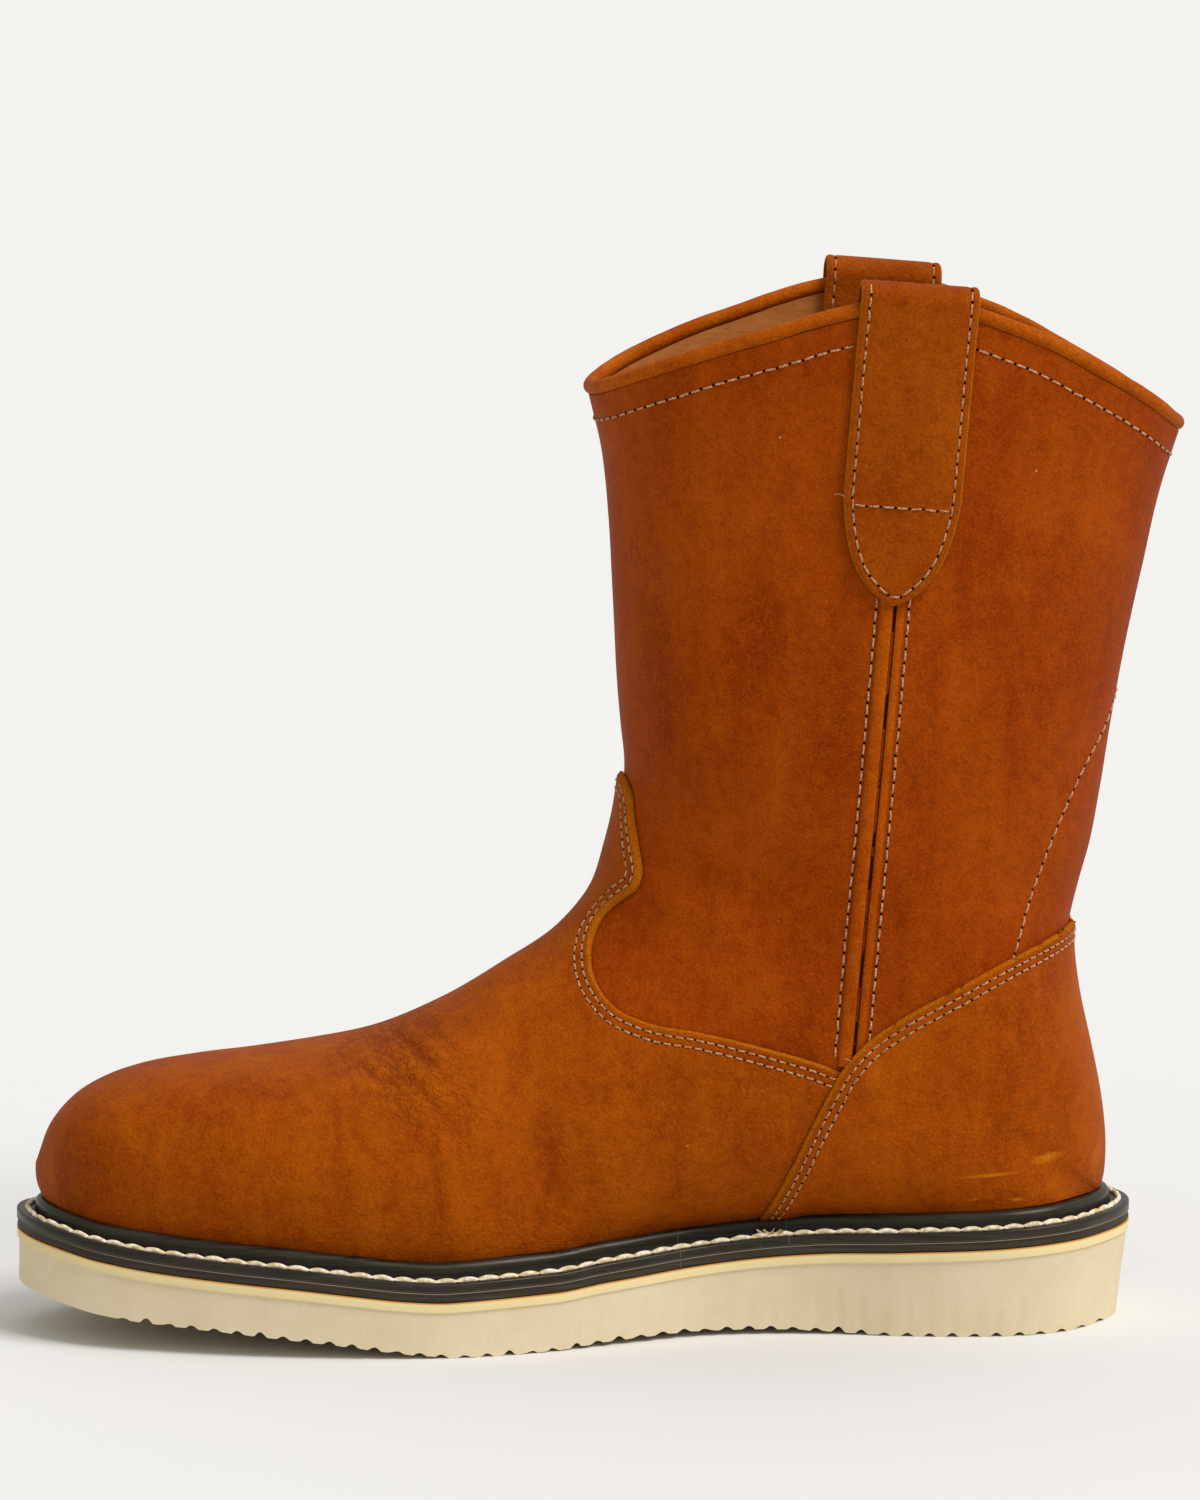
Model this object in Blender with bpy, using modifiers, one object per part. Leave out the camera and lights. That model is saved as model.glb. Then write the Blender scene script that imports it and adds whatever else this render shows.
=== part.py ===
"""Pull-on work boot on a wedge sole, right foot: hollow upper, overlays, pull straps and sole layers.

The toe points to -X, the inner side of the foot is at -Y and the floor is at Z = 0. Lengths are in metres.
"""

from math import acos, cos, pi, radians, sin

import bmesh
import bpy
import numpy as np
from mathutils import Vector
from mathutils.bvhtree import BVHTree

# Driving sizes of the sole
LENGTH = 0.312
BALL_WIDTH = 0.114
HEEL_HEIGHT = 0.0262
TOE_SPRING = 0.0136
ARCH_LIFT = 0.0015
MIDSOLE = 0.0024
FLANGE = 0.0024
BEAD_HEIGHT = 0.0040
BEAD_WIDTH = 0.0040
BEAD_INSET = 0.0082
STITCH_GROOVE = 0.0007
INSOLE = 0.0040
SOLE_TAPER = 0.0034
STRIP_HEIGHT = 0.0026
STRIP_STEP = 0.0005
STITCH_UNDERCUT = 0.0008
RIPPLE_PITCH = 0.0062
RIPPLE_DEPTH = 0.0011
RIPPLE_CREST = 0.45
RIPPLE_VALLEY = 0.725

# Driving sizes of the upper
WALL = 0.0022
OVERLAY = 0.0017
INSTEP_HEIGHT = 0.084
FRONT_HEIGHT = 0.2595
BACK_HEIGHT = 0.2485
COLLAR_RISE = 0.0318
COLLAR_OVERHANG = 0.012
SHAFT_WIDTH = 0.093
BINDING = 0.0042
SEAM_WIDTH = 0.0036
SEAM_RAISE = 0.0012
STRAP_WIDTH = 0.0325
STRAP_LEATHER = 0.0020
STRAP_DROP = 0.085
STRAP_LOOP = 0.0114
STRAP_INSIDE = 0.055
STRAP_EASE = 0.0006
STRAP_OFFSET = 0.0014
SEAM_PLACE = 0.2686
SEAM_LEAN = 0.081
CLEARANCE = 0.0003
HEEL_EASE = 0.0004

# How finely the faceted forms are cut
SIDE_STATIONS = 30
FOOT_ROWS = 22
SHAFT_ROWS = 10
LOW_STEPS = 7
HIGH_STEPS = 5
TREAD_STATIONS = 60
BINDING_SIDES = 8
STRAP_ACROSS = (-1.0, -0.5, 0.0, 0.5, 1.0)
STRAP_UP = (0.45, 0.6, 0.75)
STRAP_DOWN = (0.5, 1.0)
LOOP_TURNS = (0.0, 0.17, 0.34, 0.5, 0.66, 0.83, 1.0)
RAY_STEP = 0.0005

HEEL_X = (LENGTH - COLLAR_OVERHANG) / 2
HALF_BALL = BALL_WIDTH / 2
HALF_SHAFT = SHAFT_WIDTH / 2
INNER, OUTER = -1, 1
REACH = 1.5 * BALL_WIDTH

# Outline of the sole: share of the length from the heel, inner and outer half widths as shares of half the ball
OUTLINE = (
    (0.00, 0.00, 0.00),
    (0.03, 0.42, 0.44),
    (0.06, 0.60, 0.62),
    (0.10, 0.70, 0.70),
    (0.16, 0.72, 0.735),
    (0.22, 0.675, 0.76),
    (0.28, 0.60, 0.80),
    (0.34, 0.57, 0.845),
    (0.39, 0.59, 0.88),
    (0.46, 0.73, 0.93),
    (0.53, 0.885, 0.985),
    (0.60, 0.985, 1.035),
    (0.67, 1.00, 1.055),
    (0.74, 0.965, 1.03),
    (0.80, 0.90, 0.965),
    (0.86, 0.795, 0.85),
    (0.91, 0.685, 0.70),
    (0.95, 0.545, 0.53),
    (0.98, 0.36, 0.34),
    (1.00, 0.00, 0.00),
)

# Sole in side view: share of the length, part of the arch lift, of the toe spring and of the heel height
SOLE = (
    (0.00, 0.0, 0.00, 1.02),
    (0.06, 0.0, 0.00, 1.00),
    (0.15, 0.0, 0.00, 0.947),
    (0.22, 0.0, 0.00, 0.915),
    (0.29, 0.6, 0.00, 0.850),
    (0.36, 1.0, 0.00, 0.765),
    (0.42, 1.0, 0.00, 0.700),
    (0.48, 0.8, 0.00, 0.650),
    (0.53, 0.0, 0.00, 0.635),
    (0.62, 0.0, 0.00, 0.595),
    (0.66, 0.0, 0.09, 0.565),
    (0.71, 0.0, 0.24, 0.550),
    (0.76, 0.0, 0.37, 0.545),
    (0.82, 0.0, 0.49, 0.540),
    (0.88, 0.0, 0.59, 0.550),
    (0.93, 0.0, 0.70, 0.570),
    (0.96, 0.0, 0.83, 0.572),
    (1.00, 0.0, 1.00, 0.565),
)

# How far the bead stands in from the edge of the welt: share of the length, part of the bead inset
BEAD_LINE = (
    (0.00, 0.68),
    (0.12, 0.80),
    (0.30, 1.00),
    (0.70, 1.00),
    (0.88, 0.85),
    (1.00, 0.62),
)

# How far the foot of the sole's side stands in: share of the length, part of the sole's taper
TAPER_LINE = (
    (0.00, 1.00),
    (0.25, 0.85),
    (0.60, 0.40),
    (0.90, 0.15),
    (1.00, 0.10),
)

# Front line of the upper: share of the length, part of the instep height above the welt, part of the shaft front
FRONT = (
    (0.977, 0.110, 0.000),
    (0.963, 0.246, 0.000),
    (0.940, 0.351, 0.000),
    (0.914, 0.415, 0.000),
    (0.888, 0.458, 0.000),
    (0.836, 0.510, 0.000),
    (0.782, 0.548, 0.000),
    (0.729, 0.599, 0.000),
    (0.673, 0.670, 0.000),
    (0.619, 0.768, 0.000),
    (0.564, 0.877, 0.000),
    (0.510, 1.000, 0.000),
    (0.481, 1.000, 0.074),
    (0.468, 1.000, 0.153),
    (0.459, 1.000, 0.232),
    (0.456, 1.000, 0.300),
    (0.460, 1.000, 0.380),
    (0.464, 1.000, 0.480),
    (0.467, 1.000, 0.600),
    (0.471, 1.000, 0.770),
    (0.4765, 1.000, 0.900),
    (0.4875, 1.000, 1.000),
)

# Back line of the upper: part of the height from the welt to the collar, of the heel tuck and of the overhang
BACK = (
    (0.000, 1.00, 0.000),
    (0.045, 0.88, 0.000),
    (0.100, 0.98, 0.000),
    (0.190, 1.35, 0.000),
    (0.280, 1.76, 0.000),
    (0.340, 1.87, 0.000),
    (0.400, 1.62, 0.000),
    (0.460, 1.26, 0.000),
    (0.520, 1.05, 0.020),
    (0.620, 1.00, 0.155),
    (0.720, 1.00, 0.330),
    (0.830, 1.00, 0.560),
    (0.930, 1.00, 0.790),
    (1.000, 1.00, 1.000),
)

# Height of the collar over the line from its back to its front: share from the back, part of the rise
COLLAR = (
    (0.000, 0.000),
    (0.077, 0.270),
    (0.162, 0.500),
    (0.240, 0.700),
    (0.320, 0.850),
    (0.400, 0.960),
    (0.475, 1.000),
    (0.570, 0.915),
    (0.650, 0.785),
    (0.717, 0.650),
    (0.789, 0.515),
    (0.862, 0.355),
    (0.934, 0.185),
    (1.000, 0.000),
)

# Sections of the upper, toe to collar. Columns: station; back end, 0 to 1 along the welt and 1 to 2 up the back;
# front end, share of the front line; height of the widest place; swell over the welt line; inner and outer
# shares of half the ball; share of half the shaft; roundness below and above; lean to the inner side; collar rise
SECTIONS = (
    (0, 0.000, 0.000, 0.30, 1.03, 0.000, 0.000, 0.000, 2.2, 2.20, 0.00, 0.00),
    (1, 0.005, 0.018, 0.30, 1.03, 0.000, 0.000, 0.000, 2.2, 2.20, 0.00, 0.00),
    (2, 0.016, 0.040, 0.30, 1.03, 0.000, 0.000, 0.000, 2.2, 2.25, 0.01, 0.00),
    (3, 0.040, 0.070, 0.30, 1.03, 0.000, 0.000, 0.000, 2.2, 2.35, 0.02, 0.00),
    (4, 0.080, 0.112, 0.30, 1.04, 0.000, 0.000, 0.000, 2.2, 2.40, 0.03, 0.00),
    (5, 0.140, 0.169, 0.30, 1.05, 0.000, 0.000, 0.000, 2.2, 2.35, 0.05, 0.00),
    (6, 0.220, 0.243, 0.30, 1.06, 0.000, 0.000, 0.000, 2.2, 2.20, 0.07, 0.00),
    (7, 0.300, 0.312, 0.31, 1.06, 0.000, 0.000, 0.000, 2.2, 2.05, 0.09, 0.00),
    (8, 0.380, 0.370, 0.32, 0.85, 0.170, 0.190, 0.000, 2.2, 1.92, 0.09, 0.00),
    (9, 0.460, 0.425, 0.34, 0.45, 0.420, 0.450, 0.000, 2.2, 1.86, 0.08, 0.00),
    (10, 0.550, 0.475, 0.37, 0.00, 0.670, 0.755, 0.000, 2.2, 1.86, 0.06, 0.00),
    (11, 0.650, 0.520, 0.41, 0.00, 0.490, 0.550, 0.200, 2.2, 1.88, 0.04, 0.00),
    (12, 0.760, 0.565, 0.44, 0.00, 0.320, 0.365, 0.400, 2.2, 1.92, 0.02, 0.00),
    (13, 0.870, 0.610, 0.47, 0.00, 0.160, 0.190, 0.610, 2.2, 1.98, 0.01, 0.00),
    (14, 0.930, 0.640, 0.48, 0.00, 0.095, 0.110, 0.700, 2.2, 2.01, 0.00, 0.00),
    (15, 0.965, 0.658, 0.48, 0.00, 0.055, 0.065, 0.755, 2.2, 2.03, 0.00, 0.00),
    (16, 0.983, 0.669, 0.49, 0.00, 0.040, 0.050, 0.775, 2.2, 2.04, 0.00, 0.00),
    (17, 0.994, 0.678, 0.49, 0.00, 0.032, 0.042, 0.787, 2.2, 2.05, 0.00, 0.00),
    (18, 1.000, 0.687, 0.49, 0.00, 0.028, 0.038, 0.793, 2.2, 2.05, 0.00, 0.00),
    (19, 1.050, 0.706, 0.49, 0.00, 0.010, 0.015, 0.825, 2.2, 2.06, 0.00, 0.00),
    (20, 1.150, 0.740, 0.50, 0.00, 0.000, 0.000, 0.860, 2.15, 2.10, 0.00, 0.00),
    (21, 1.280, 0.778, 0.50, 0.00, 0.000, 0.000, 0.886, 2.1, 2.10, 0.00, 0.02),
    (22, 1.420, 0.815, 0.50, 0.00, 0.000, 0.000, 0.911, 2.1, 2.10, 0.00, 0.08),
    (23, 1.560, 0.852, 0.50, 0.00, 0.000, 0.000, 0.932, 2.1, 2.10, 0.00, 0.22),
    (24, 1.710, 0.895, 0.50, 0.00, 0.000, 0.000, 0.952, 2.1, 2.10, 0.00, 0.47),
    (25, 1.860, 0.945, 0.50, 0.00, 0.000, 0.000, 0.975, 2.1, 2.10, 0.00, 0.77),
    (26, 2.000, 1.000, 0.50, 0.00, 0.000, 0.000, 1.000, 2.1, 2.10, 0.00, 1.00),
)

# Edge of the vamp in side view, ridge to counter: share of the length, part of the height to the collar's front
VAMP_EDGE = (
    (0.4590, 0.601),
    (0.4513, 0.580),
    (0.4487, 0.548),
    (0.4460, 0.519),
    (0.4440, 0.493),
    (0.4487, 0.477),
    (0.4625, 0.462),
    (0.4795, 0.440),
    (0.4888, 0.415),
    (0.4885, 0.385),
    (0.4737, 0.358),
    (0.4433, 0.341),
    (0.3990, 0.332),
    (0.3550, 0.320),
    (0.3190, 0.308),
    (0.2923, 0.298),
    (0.2747, 0.289),
)

# Top edge of the counter in side view, from its meeting with the vamp to the back
COUNTER_EDGE = (
    (0.2747, 0.289),
    (0.2596, 0.311),
    (0.2220, 0.345),
    (0.1770, 0.374),
    (0.1320, 0.400),
    (0.0830, 0.421),
    (0.0410, 0.433),
    (-0.0200, 0.437),
)

# Front edge of the counter, from its meeting with the vamp down to the welt
COUNTER_FRONT = (
    (0.2747, 0.289),
    (0.2968, 0.238),
    (0.3180, 0.183),
    (0.3390, 0.1295),
)

# Strap seen from the side: share of the drop above its tip, share of half its width
STRAP_POINT = (
    (0.000, 0.00),
    (0.012, 0.16),
    (0.045, 0.40),
    (0.095, 0.63),
    (0.165, 0.81),
    (0.250, 0.93),
    (0.340, 1.00),
)


def clear_scene():
    for thing in list(bpy.data.objects):
        bpy.data.objects.remove(thing, do_unlink=True)


def collection(name):
    made = bpy.data.collections.new(name)
    bpy.context.scene.collection.children.link(made)
    return made


def material(name, colour, roughness):
    made = bpy.data.materials.new(name)
    made.use_nodes = True
    shader = made.node_tree.nodes["Principled BSDF"]
    shader.inputs["Base Color"].default_value = (*colour, 1)
    shader.inputs["Roughness"].default_value = roughness
    shader.inputs["Metallic"].default_value = 0
    made.diffuse_color = (*colour, 1)
    return made


def follow(rows, place, level=False):
    """Columns of a table at a place in its first column, on a smooth curve that never overshoots when level."""
    table = np.array(rows, float)
    keys, values = table[:, 0], table[:, 1:]
    steps = np.diff(keys)
    rises = np.diff(values, axis=0) / steps[:, None]
    slopes = np.empty_like(values)
    slopes[0], slopes[-1] = rises[0], rises[-1]
    before, after = steps[:-1, None], steps[1:, None]
    slopes[1:-1] = (rises[:-1] * after + rises[1:] * before) / (before + after)
    if level:
        low, high = rises[:-1], rises[1:]
        same = low * high > 0
        total = np.where(same, low + high, 1)
        slopes[1:-1] = np.where(same, 2 * low * high / total, 0)
    place = np.clip(place, keys[0], keys[-1])
    k = min(int(np.searchsorted(keys, place, side="right")) - 1, len(steps) - 1)
    h = steps[k]
    t = (place - keys[k]) / h
    return (
        values[k] * (1 + 2 * t) * (1 - t) ** 2
        + slopes[k] * h * t * (1 - t) ** 2
        + values[k + 1] * t * t * (3 - 2 * t)
        + slopes[k + 1] * h * t * t * (t - 1)
    )


def around(share):
    """Turn of a share of the length round a half circle, which makes the ends of an outline round."""
    return acos(1 - 2 * min(max(share, 0), 1))


ROUND_OUTLINE = [(around(s), inner, outer) for s, inner, outer in OUTLINE]


def share_at(x):
    return (HEEL_X - x) / LENGTH


def x_at(share):
    return HEEL_X - share * LENGTH


def sole_bottom(x):
    arch, spring, _ = follow(SOLE, share_at(x), level=True)
    return arch * ARCH_LIFT + spring * TOE_SPRING


def sole_top(x):
    return sole_bottom(x) + follow(SOLE, share_at(x), level=True)[2] * HEEL_HEIGHT


def welt_top(x):
    return sole_top(x) + MIDSOLE + FLANGE


def bead_top(x):
    return welt_top(x) + BEAD_HEIGHT + 2 * CLEARANCE


def bead_inset(x):
    return BEAD_INSET * follow(BEAD_LINE, share_at(x))[0]


def side_taper(x):
    return SOLE_TAPER * follow(TAPER_LINE, share_at(x))[0]


def outline(side, extra=0.0, bead=0.0, taper=0.0, steps=240):
    """Points of the sole's edge on one side, heel to toe, moved in by extra and by parts of two lines."""
    turns = np.linspace(0, pi, steps + 1)
    column = 0 if side == INNER else 1
    x = np.array([HEEL_X - LENGTH * (1 - cos(turn)) / 2 for turn in turns])
    y = np.array([side * HALF_BALL * follow(ROUND_OUTLINE, turn)[column] for turn in turns])
    along_x, along_y = np.gradient(x), np.gradient(y)
    along_y[0], along_y[-1] = side, -side
    along_x[0] = along_x[-1] = 0
    size = np.hypot(along_x, along_y)
    inset = np.array([extra + bead * bead_inset(at) + taper * side_taper(at) for at in x])
    x_in = x - side * inset * along_y / size
    y_in = y + side * inset * along_x / size
    return x_in, y_in


def half_edge(edge, x):
    xs, ys = edge
    return float(np.interp(x, xs[::-1], ys[::-1]))


def edge_pair(extra=0.0, bead=0.0, taper=0.0):
    return {side: outline(side, extra, bead, taper) for side in (INNER, OUTER)}


def stations(edges, shares=None, count=SIDE_STATIONS):
    """Places along X from heel to toe, by default closer together near the round ends."""
    heel, toe = edges[INNER][0][0], edges[INNER][0][-1]
    shares = shares or [(1 - cos(pi * k / count)) / 2 for k in range(count + 1)]
    return [heel + (toe - heel) * share for share in shares]


def link(mesh, name, group, finish):
    thing = bpy.data.objects.new(name, mesh)
    group.objects.link(thing)
    if finish:
        mesh.materials.append(finish)
    return thing


def loft(name, rings, group, finish, closed=False):
    """Solid through rings of points, its ends capped or, when closed, its last ring joined to its first."""
    work = bmesh.new()
    rows = [[work.verts.new(point) for point in ring] for ring in rings]
    pairs = list(zip(rows, rows[1:]))
    if closed:
        pairs.append((rows[-1], rows[0]))
    for first, second in pairs:
        for k in range(len(first)):
            near, far = first[k - 1], first[k]
            work.faces.new((near, far, second[k], second[k - 1]))
    if not closed:
        work.faces.new(rows[0])
        work.faces.new(list(reversed(rows[-1])))
    bmesh.ops.remove_doubles(work, verts=work.verts, dist=1e-6)
    bmesh.ops.dissolve_degenerate(work, dist=1e-7, edges=work.edges)
    bmesh.ops.recalc_face_normals(work, faces=work.faces)
    mesh = bpy.data.meshes.new(name)
    work.to_mesh(mesh)
    work.free()
    mesh.shade_smooth()
    mesh.set_sharp_from_angle(angle=radians(40))
    return link(mesh, name, group, finish)


def plate(name, edges, shares, low, high, group, finish):
    """Flat layer between two heights that follow the sole's side view."""
    rings = []
    for x in stations(edges, shares):
        inner, outer = half_edge(edges[INNER], x), half_edge(edges[OUTER], x)
        rings.append([(x, inner, low(x)), (x, outer, low(x)), (x, outer, high(x)), (x, inner, high(x))])
    return loft(name, rings, group, finish)


def tread_places(edges):
    """Places along X with the height of the ripple there: a flat crest, then a valley, over and over."""
    heel, toe = edges[INNER][0][0], edges[INNER][0][-1]
    ends = [x for x in stations(edges, count=TREAD_STATIONS) if min(heel - x, x - toe) < RIPPLE_PITCH]
    places = [(x, 0.0) for x in ends]
    x = heel - RIPPLE_PITCH
    while x > toe + 2 * RIPPLE_PITCH:
        places.append((x, 0.0))
        places.append((x - RIPPLE_CREST * RIPPLE_PITCH, 0.0))
        places.append((x - RIPPLE_VALLEY * RIPPLE_PITCH, RIPPLE_DEPTH))
        x -= RIPPLE_PITCH
    return sorted(places, reverse=True)


def make_outsole(group, finish):
    """Wedge of foam: rippled tread, sides that taper in to the floor and a thin proud strip at the top."""
    edges = edge_pair()
    waist = edge_pair(STRIP_STEP)
    foot = edge_pair(taper=1.0)
    heel, toe = edges[INNER][0][0], edges[INNER][0][-1]
    foot_heel, foot_toe = foot[INNER][0][0], foot[INNER][0][-1]
    rings = []
    for x, lift in tread_places(edges):
        share = (x - toe) / (heel - toe)
        x_waist = toe + STRIP_STEP + share * (heel - toe - 2 * STRIP_STEP)
        x_foot = foot_toe + share * (foot_heel - foot_toe)
        top, strip, bottom = sole_top(x), sole_top(x_waist) - STRIP_HEIGHT, sole_bottom(x_foot) + lift
        sides = []
        for side in (INNER, OUTER):
            sides.append(
                [
                    (x, half_edge(edges[side], x), top),
                    (x, half_edge(edges[side], x), strip),
                    (x_waist, half_edge(waist[side], x_waist), strip - STRIP_STEP),
                    (x_foot, half_edge(foot[side], x_foot), bottom),
                ]
            )
        swing = min(RIPPLE_PITCH, (foot_heel - x_foot) / 2, (x_foot - foot_toe) / 2)
        middle = [(x_foot + swing, (sides[0][3][1] + sides[1][3][1]) / 2, bottom)]
        rings.append(sides[0] + middle + sides[1][::-1])
    return loft("outsole", rings, group, finish)


def make_welt(group, finish):
    """Ring round the foot of the upper: a flange that carries the stitches and a raised bead inside it."""
    inner_gap = BEAD_WIDTH - CLEARANCE
    profile = (
        (0.0, 0.0, 0.0),
        (0.0, 0.0, FLANGE),
        (-STITCH_UNDERCUT, 1.0, FLANGE),
        (-STITCH_UNDERCUT / 2, 1.0, FLANGE - STITCH_GROOVE),
        (0.0, 1.0, FLANGE + 0.35 * BEAD_HEIGHT),
        (0.22 * BEAD_WIDTH, 1.0, FLANGE + 0.85 * BEAD_HEIGHT),
        (0.55 * BEAD_WIDTH, 1.0, FLANGE + BEAD_HEIGHT),
        (inner_gap, 1.0, FLANGE + 0.85 * BEAD_HEIGHT),
        (inner_gap, 1.0, 0.0),
    )
    lines = [(edge_pair(extra, bead), height) for extra, bead, height in profile]
    shares = foot_shares()
    rings = []
    for side, order in ((INNER, 1), (OUTER, -1)):
        for k in list(range(len(shares)))[::order][:-1]:
            ring = []
            for edges, height in lines:
                x = stations(edges, shares)[k]
                base = sole_top(x) + MIDSOLE + 2 * CLEARANCE
                ring.append((x, half_edge(edges[side], x), base + height))
            rings.append(ring)
    return loft("welt", rings, group, finish, closed=True)


def front_line():
    """Points of the upper's front line and the share of its length at each."""
    top_of_instep = min(FRONT, key=lambda row: abs(row[1] - 1))[0]
    throat = bead_top(x_at(top_of_instep)) + INSTEP_HEIGHT
    points = []
    for share, instep, shaft in FRONT:
        x = x_at(share)
        foot = bead_top(x) + instep * INSTEP_HEIGHT
        points.append((x, throat + shaft * (FRONT_HEIGHT - throat) if shaft else foot))
    lengths = [0.0]
    for before, after in zip(points, points[1:]):
        lengths.append(lengths[-1] + float(np.hypot(after[0] - before[0], after[1] - before[1])))
    return [(length / lengths[-1], x, z) for length, (x, z) in zip(lengths, points)]


def back_end(place, feather):
    """Point of the welt line or back line: 0 at the toe, 1 at the heel, 2 at the collar."""
    toe, heel = feather[INNER][0][-1], feather[INNER][0][0]
    if place <= 1:
        x = toe + place * (heel - toe)
        return x, bead_top(x)
    low = bead_top(heel)
    tuck, over = follow(BACK, place - 1)
    tuck_start = HEEL_X - heel
    x = HEEL_X - tuck_start * tuck + over * (tuck_start + COLLAR_OVERHANG)
    return x, low + (place - 1) * (BACK_HEIGHT - low)


def half_section(low_width, full_width, widest, low_round, high_round):
    """Share of the height and half width down one side of a section, from its foot to the ridge."""
    ratio = min(low_width / full_width, 0.985) if full_width > 1e-9 else 0.0
    reach = widest / (1 - ratio**low_round) ** (1 / low_round)
    start = np.arcsin((widest / reach) ** (low_round / 2))
    points = []
    for turn in np.linspace(start, 0, LOW_STEPS + 1)[:-1]:
        points.append((widest - reach * sin(turn) ** (2 / low_round), cos(turn) ** (2 / low_round)))
    for turn in np.linspace(0, pi / 2, HIGH_STEPS + 1):
        share = widest + (1 - widest) * sin(turn) ** (2 / high_round)
        points.append((share, max(cos(turn), 0.0) ** (2 / high_round)))
    points[0] = (0.0, ratio)
    return points


def section(place, front, feather):
    """Points of one section of the upper's outer face, from the inner foot over the ridge to the outer foot."""
    back, ridge, widest, swell, inner, outer, shaft, low, high, lean, rise = follow(SECTIONS, place, level=True)
    if abs(back - 1) < 1e-6:
        back = 1.0
    back = max(back, 0.0)
    x_back, z_back = back_end(back, feather)
    x_front, z_front = follow(front, ridge)
    halves = {}
    for side, foot in ((INNER, inner), (OUTER, outer)):
        low_width = abs(half_edge(feather[side], x_back)) if back < 1 else 0.0
        full = swell * low_width + foot * HALF_BALL + shaft * HALF_SHAFT
        points = []
        for share, width in half_section(low_width, full, widest, low, high):
            height = rise * COLLAR_RISE * follow(COLLAR, share)[0]
            y = side * width * full - lean * HALF_BALL * share**2
            points.append(
                (x_back + share * (x_front - x_back), y, z_back + share * (z_front - z_back) + height)
            )
        if low_width:
            x = points[0][0]
            points[0] = (x, half_edge(feather[side], x), points[0][2])
        halves[side] = points
    return halves[INNER] + halves[OUTER][-2::-1], back <= 1


def section_places():
    """Places of the rows in the table of sections, with one on the heel's rearmost point."""
    last = SECTIONS[-1][0]
    heel = min(SECTIONS, key=lambda row: abs(row[1] - 1))[0]
    foot = [heel * (k / FOOT_ROWS) for k in range(FOOT_ROWS + 1)]
    return foot + [heel + (last - heel) * (k + 1) / SHAFT_ROWS for k in range(SHAFT_ROWS)]


def foot_shares():
    """Shares of the length, heel to toe, at which the upper's rows meet the welt."""
    backs = [follow(SECTIONS, place, level=True)[0] for place in section_places()[: FOOT_ROWS + 1]]
    return [1 - min(max(float(back), 0.0), 1.0) for back in reversed(backs)]


def upper_face():
    """Outer face of the upper as an open mesh, from the skirt inside the welt up to the collar."""
    feather = edge_pair(BEAD_WIDTH, 1.0)
    front = front_line()
    work = bmesh.new()
    rows = []
    for place in section_places():
        points, opens = section(place, front, feather)
        row = [work.verts.new(point) for point in points]
        skirt = None
        if opens:
            skirt = []
            for x, y, _ in (points[0], points[-1]):
                skirt.append(work.verts.new((x, y, sole_top(x) + MIDSOLE + 2 * CLEARANCE)))
        rows.append((row, skirt))
    for (first, low_first), (second, low_second) in zip(rows, rows[1:]):
        for k in range(len(first) - 1):
            work.faces.new((first[k], first[k + 1], second[k + 1], second[k]))
        if low_first and low_second:
            work.faces.new((low_first[0], first[0], second[0], low_second[0]))
            work.faces.new((first[-1], low_first[1], low_second[1], second[-1]))
    bmesh.ops.remove_doubles(work, verts=work.verts, dist=2e-6)
    bmesh.ops.dissolve_degenerate(work, dist=1e-7, edges=work.edges)
    bmesh.ops.recalc_face_normals(work, faces=work.faces)
    side = max(work.faces, key=lambda face: face.calc_center_median().y)
    if side.normal.y < 0:
        bmesh.ops.reverse_faces(work, faces=work.faces)
    bmesh.ops.triangulate(work, faces=work.faces)
    mesh = bpy.data.meshes.new("upper_face")
    work.to_mesh(mesh)
    work.free()
    return mesh


def shell(name, face, gap, thickness, group, finish):
    """Wall built on the upper's outer face moved out by a gap: thickness goes out, or in when negative."""
    mesh = face.copy()
    mesh.name = name
    if gap:
        moved = [vertex.co + vertex.normal * gap for vertex in mesh.vertices]
        for vertex, point in zip(mesh.vertices, moved):
            vertex.co = point
    mesh.shade_smooth()
    thing = link(mesh, name, group, finish)
    wall = thing.modifiers.new("wall", "SOLIDIFY")
    wall.thickness = abs(thickness)
    wall.offset = 1 if thickness > 0 else -1
    wall.use_even_offset = True
    wall.thickness_clamp = 0.8
    return thing


def side_prism(name, points, group, span=(-REACH, REACH)):
    """Cutter with a side view outline between two places along Y, by default wider than the boot."""
    rings = [[(x, y, z) for x, z in points] for y in span]
    thing = loft(name, rings, group, None)
    thing.hide_render = True
    thing.display_type = "WIRE"
    return thing


def cut(thing, cutter, operation, solver="EXACT"):
    step = thing.modifiers.new(cutter.name, "BOOLEAN")
    step.operation = operation
    step.object = cutter
    step.solver = solver


def side_points(table):
    return [(x_at(share), height * FRONT_HEIGHT) for share, height in table]


def over_bead(start, stop, steps):
    """Points just over the bead between two places along X."""
    places = np.linspace(start, stop, steps)
    return [(float(x), bead_top(x) + CLEARANCE) for x in places]


def make_vamp(face, group, cutters, finish):
    edge = side_points(VAMP_EDGE)
    front = [(x - CLEARANCE, z - CLEARANCE) for x, z in side_points(COUNTER_FRONT)]
    toe = x_at(1) - OVERLAY
    foot = over_bead(front[-1][0], toe, steps=16)
    points = [(toe, edge[0][1])] + edge + front[1:-1] + foot
    prism = side_prism("vamp_outline", points, cutters)
    vamp = shell("vamp", face, CLEARANCE, OVERLAY, group, finish)
    cut(vamp, prism, "INTERSECT")
    return vamp


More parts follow.
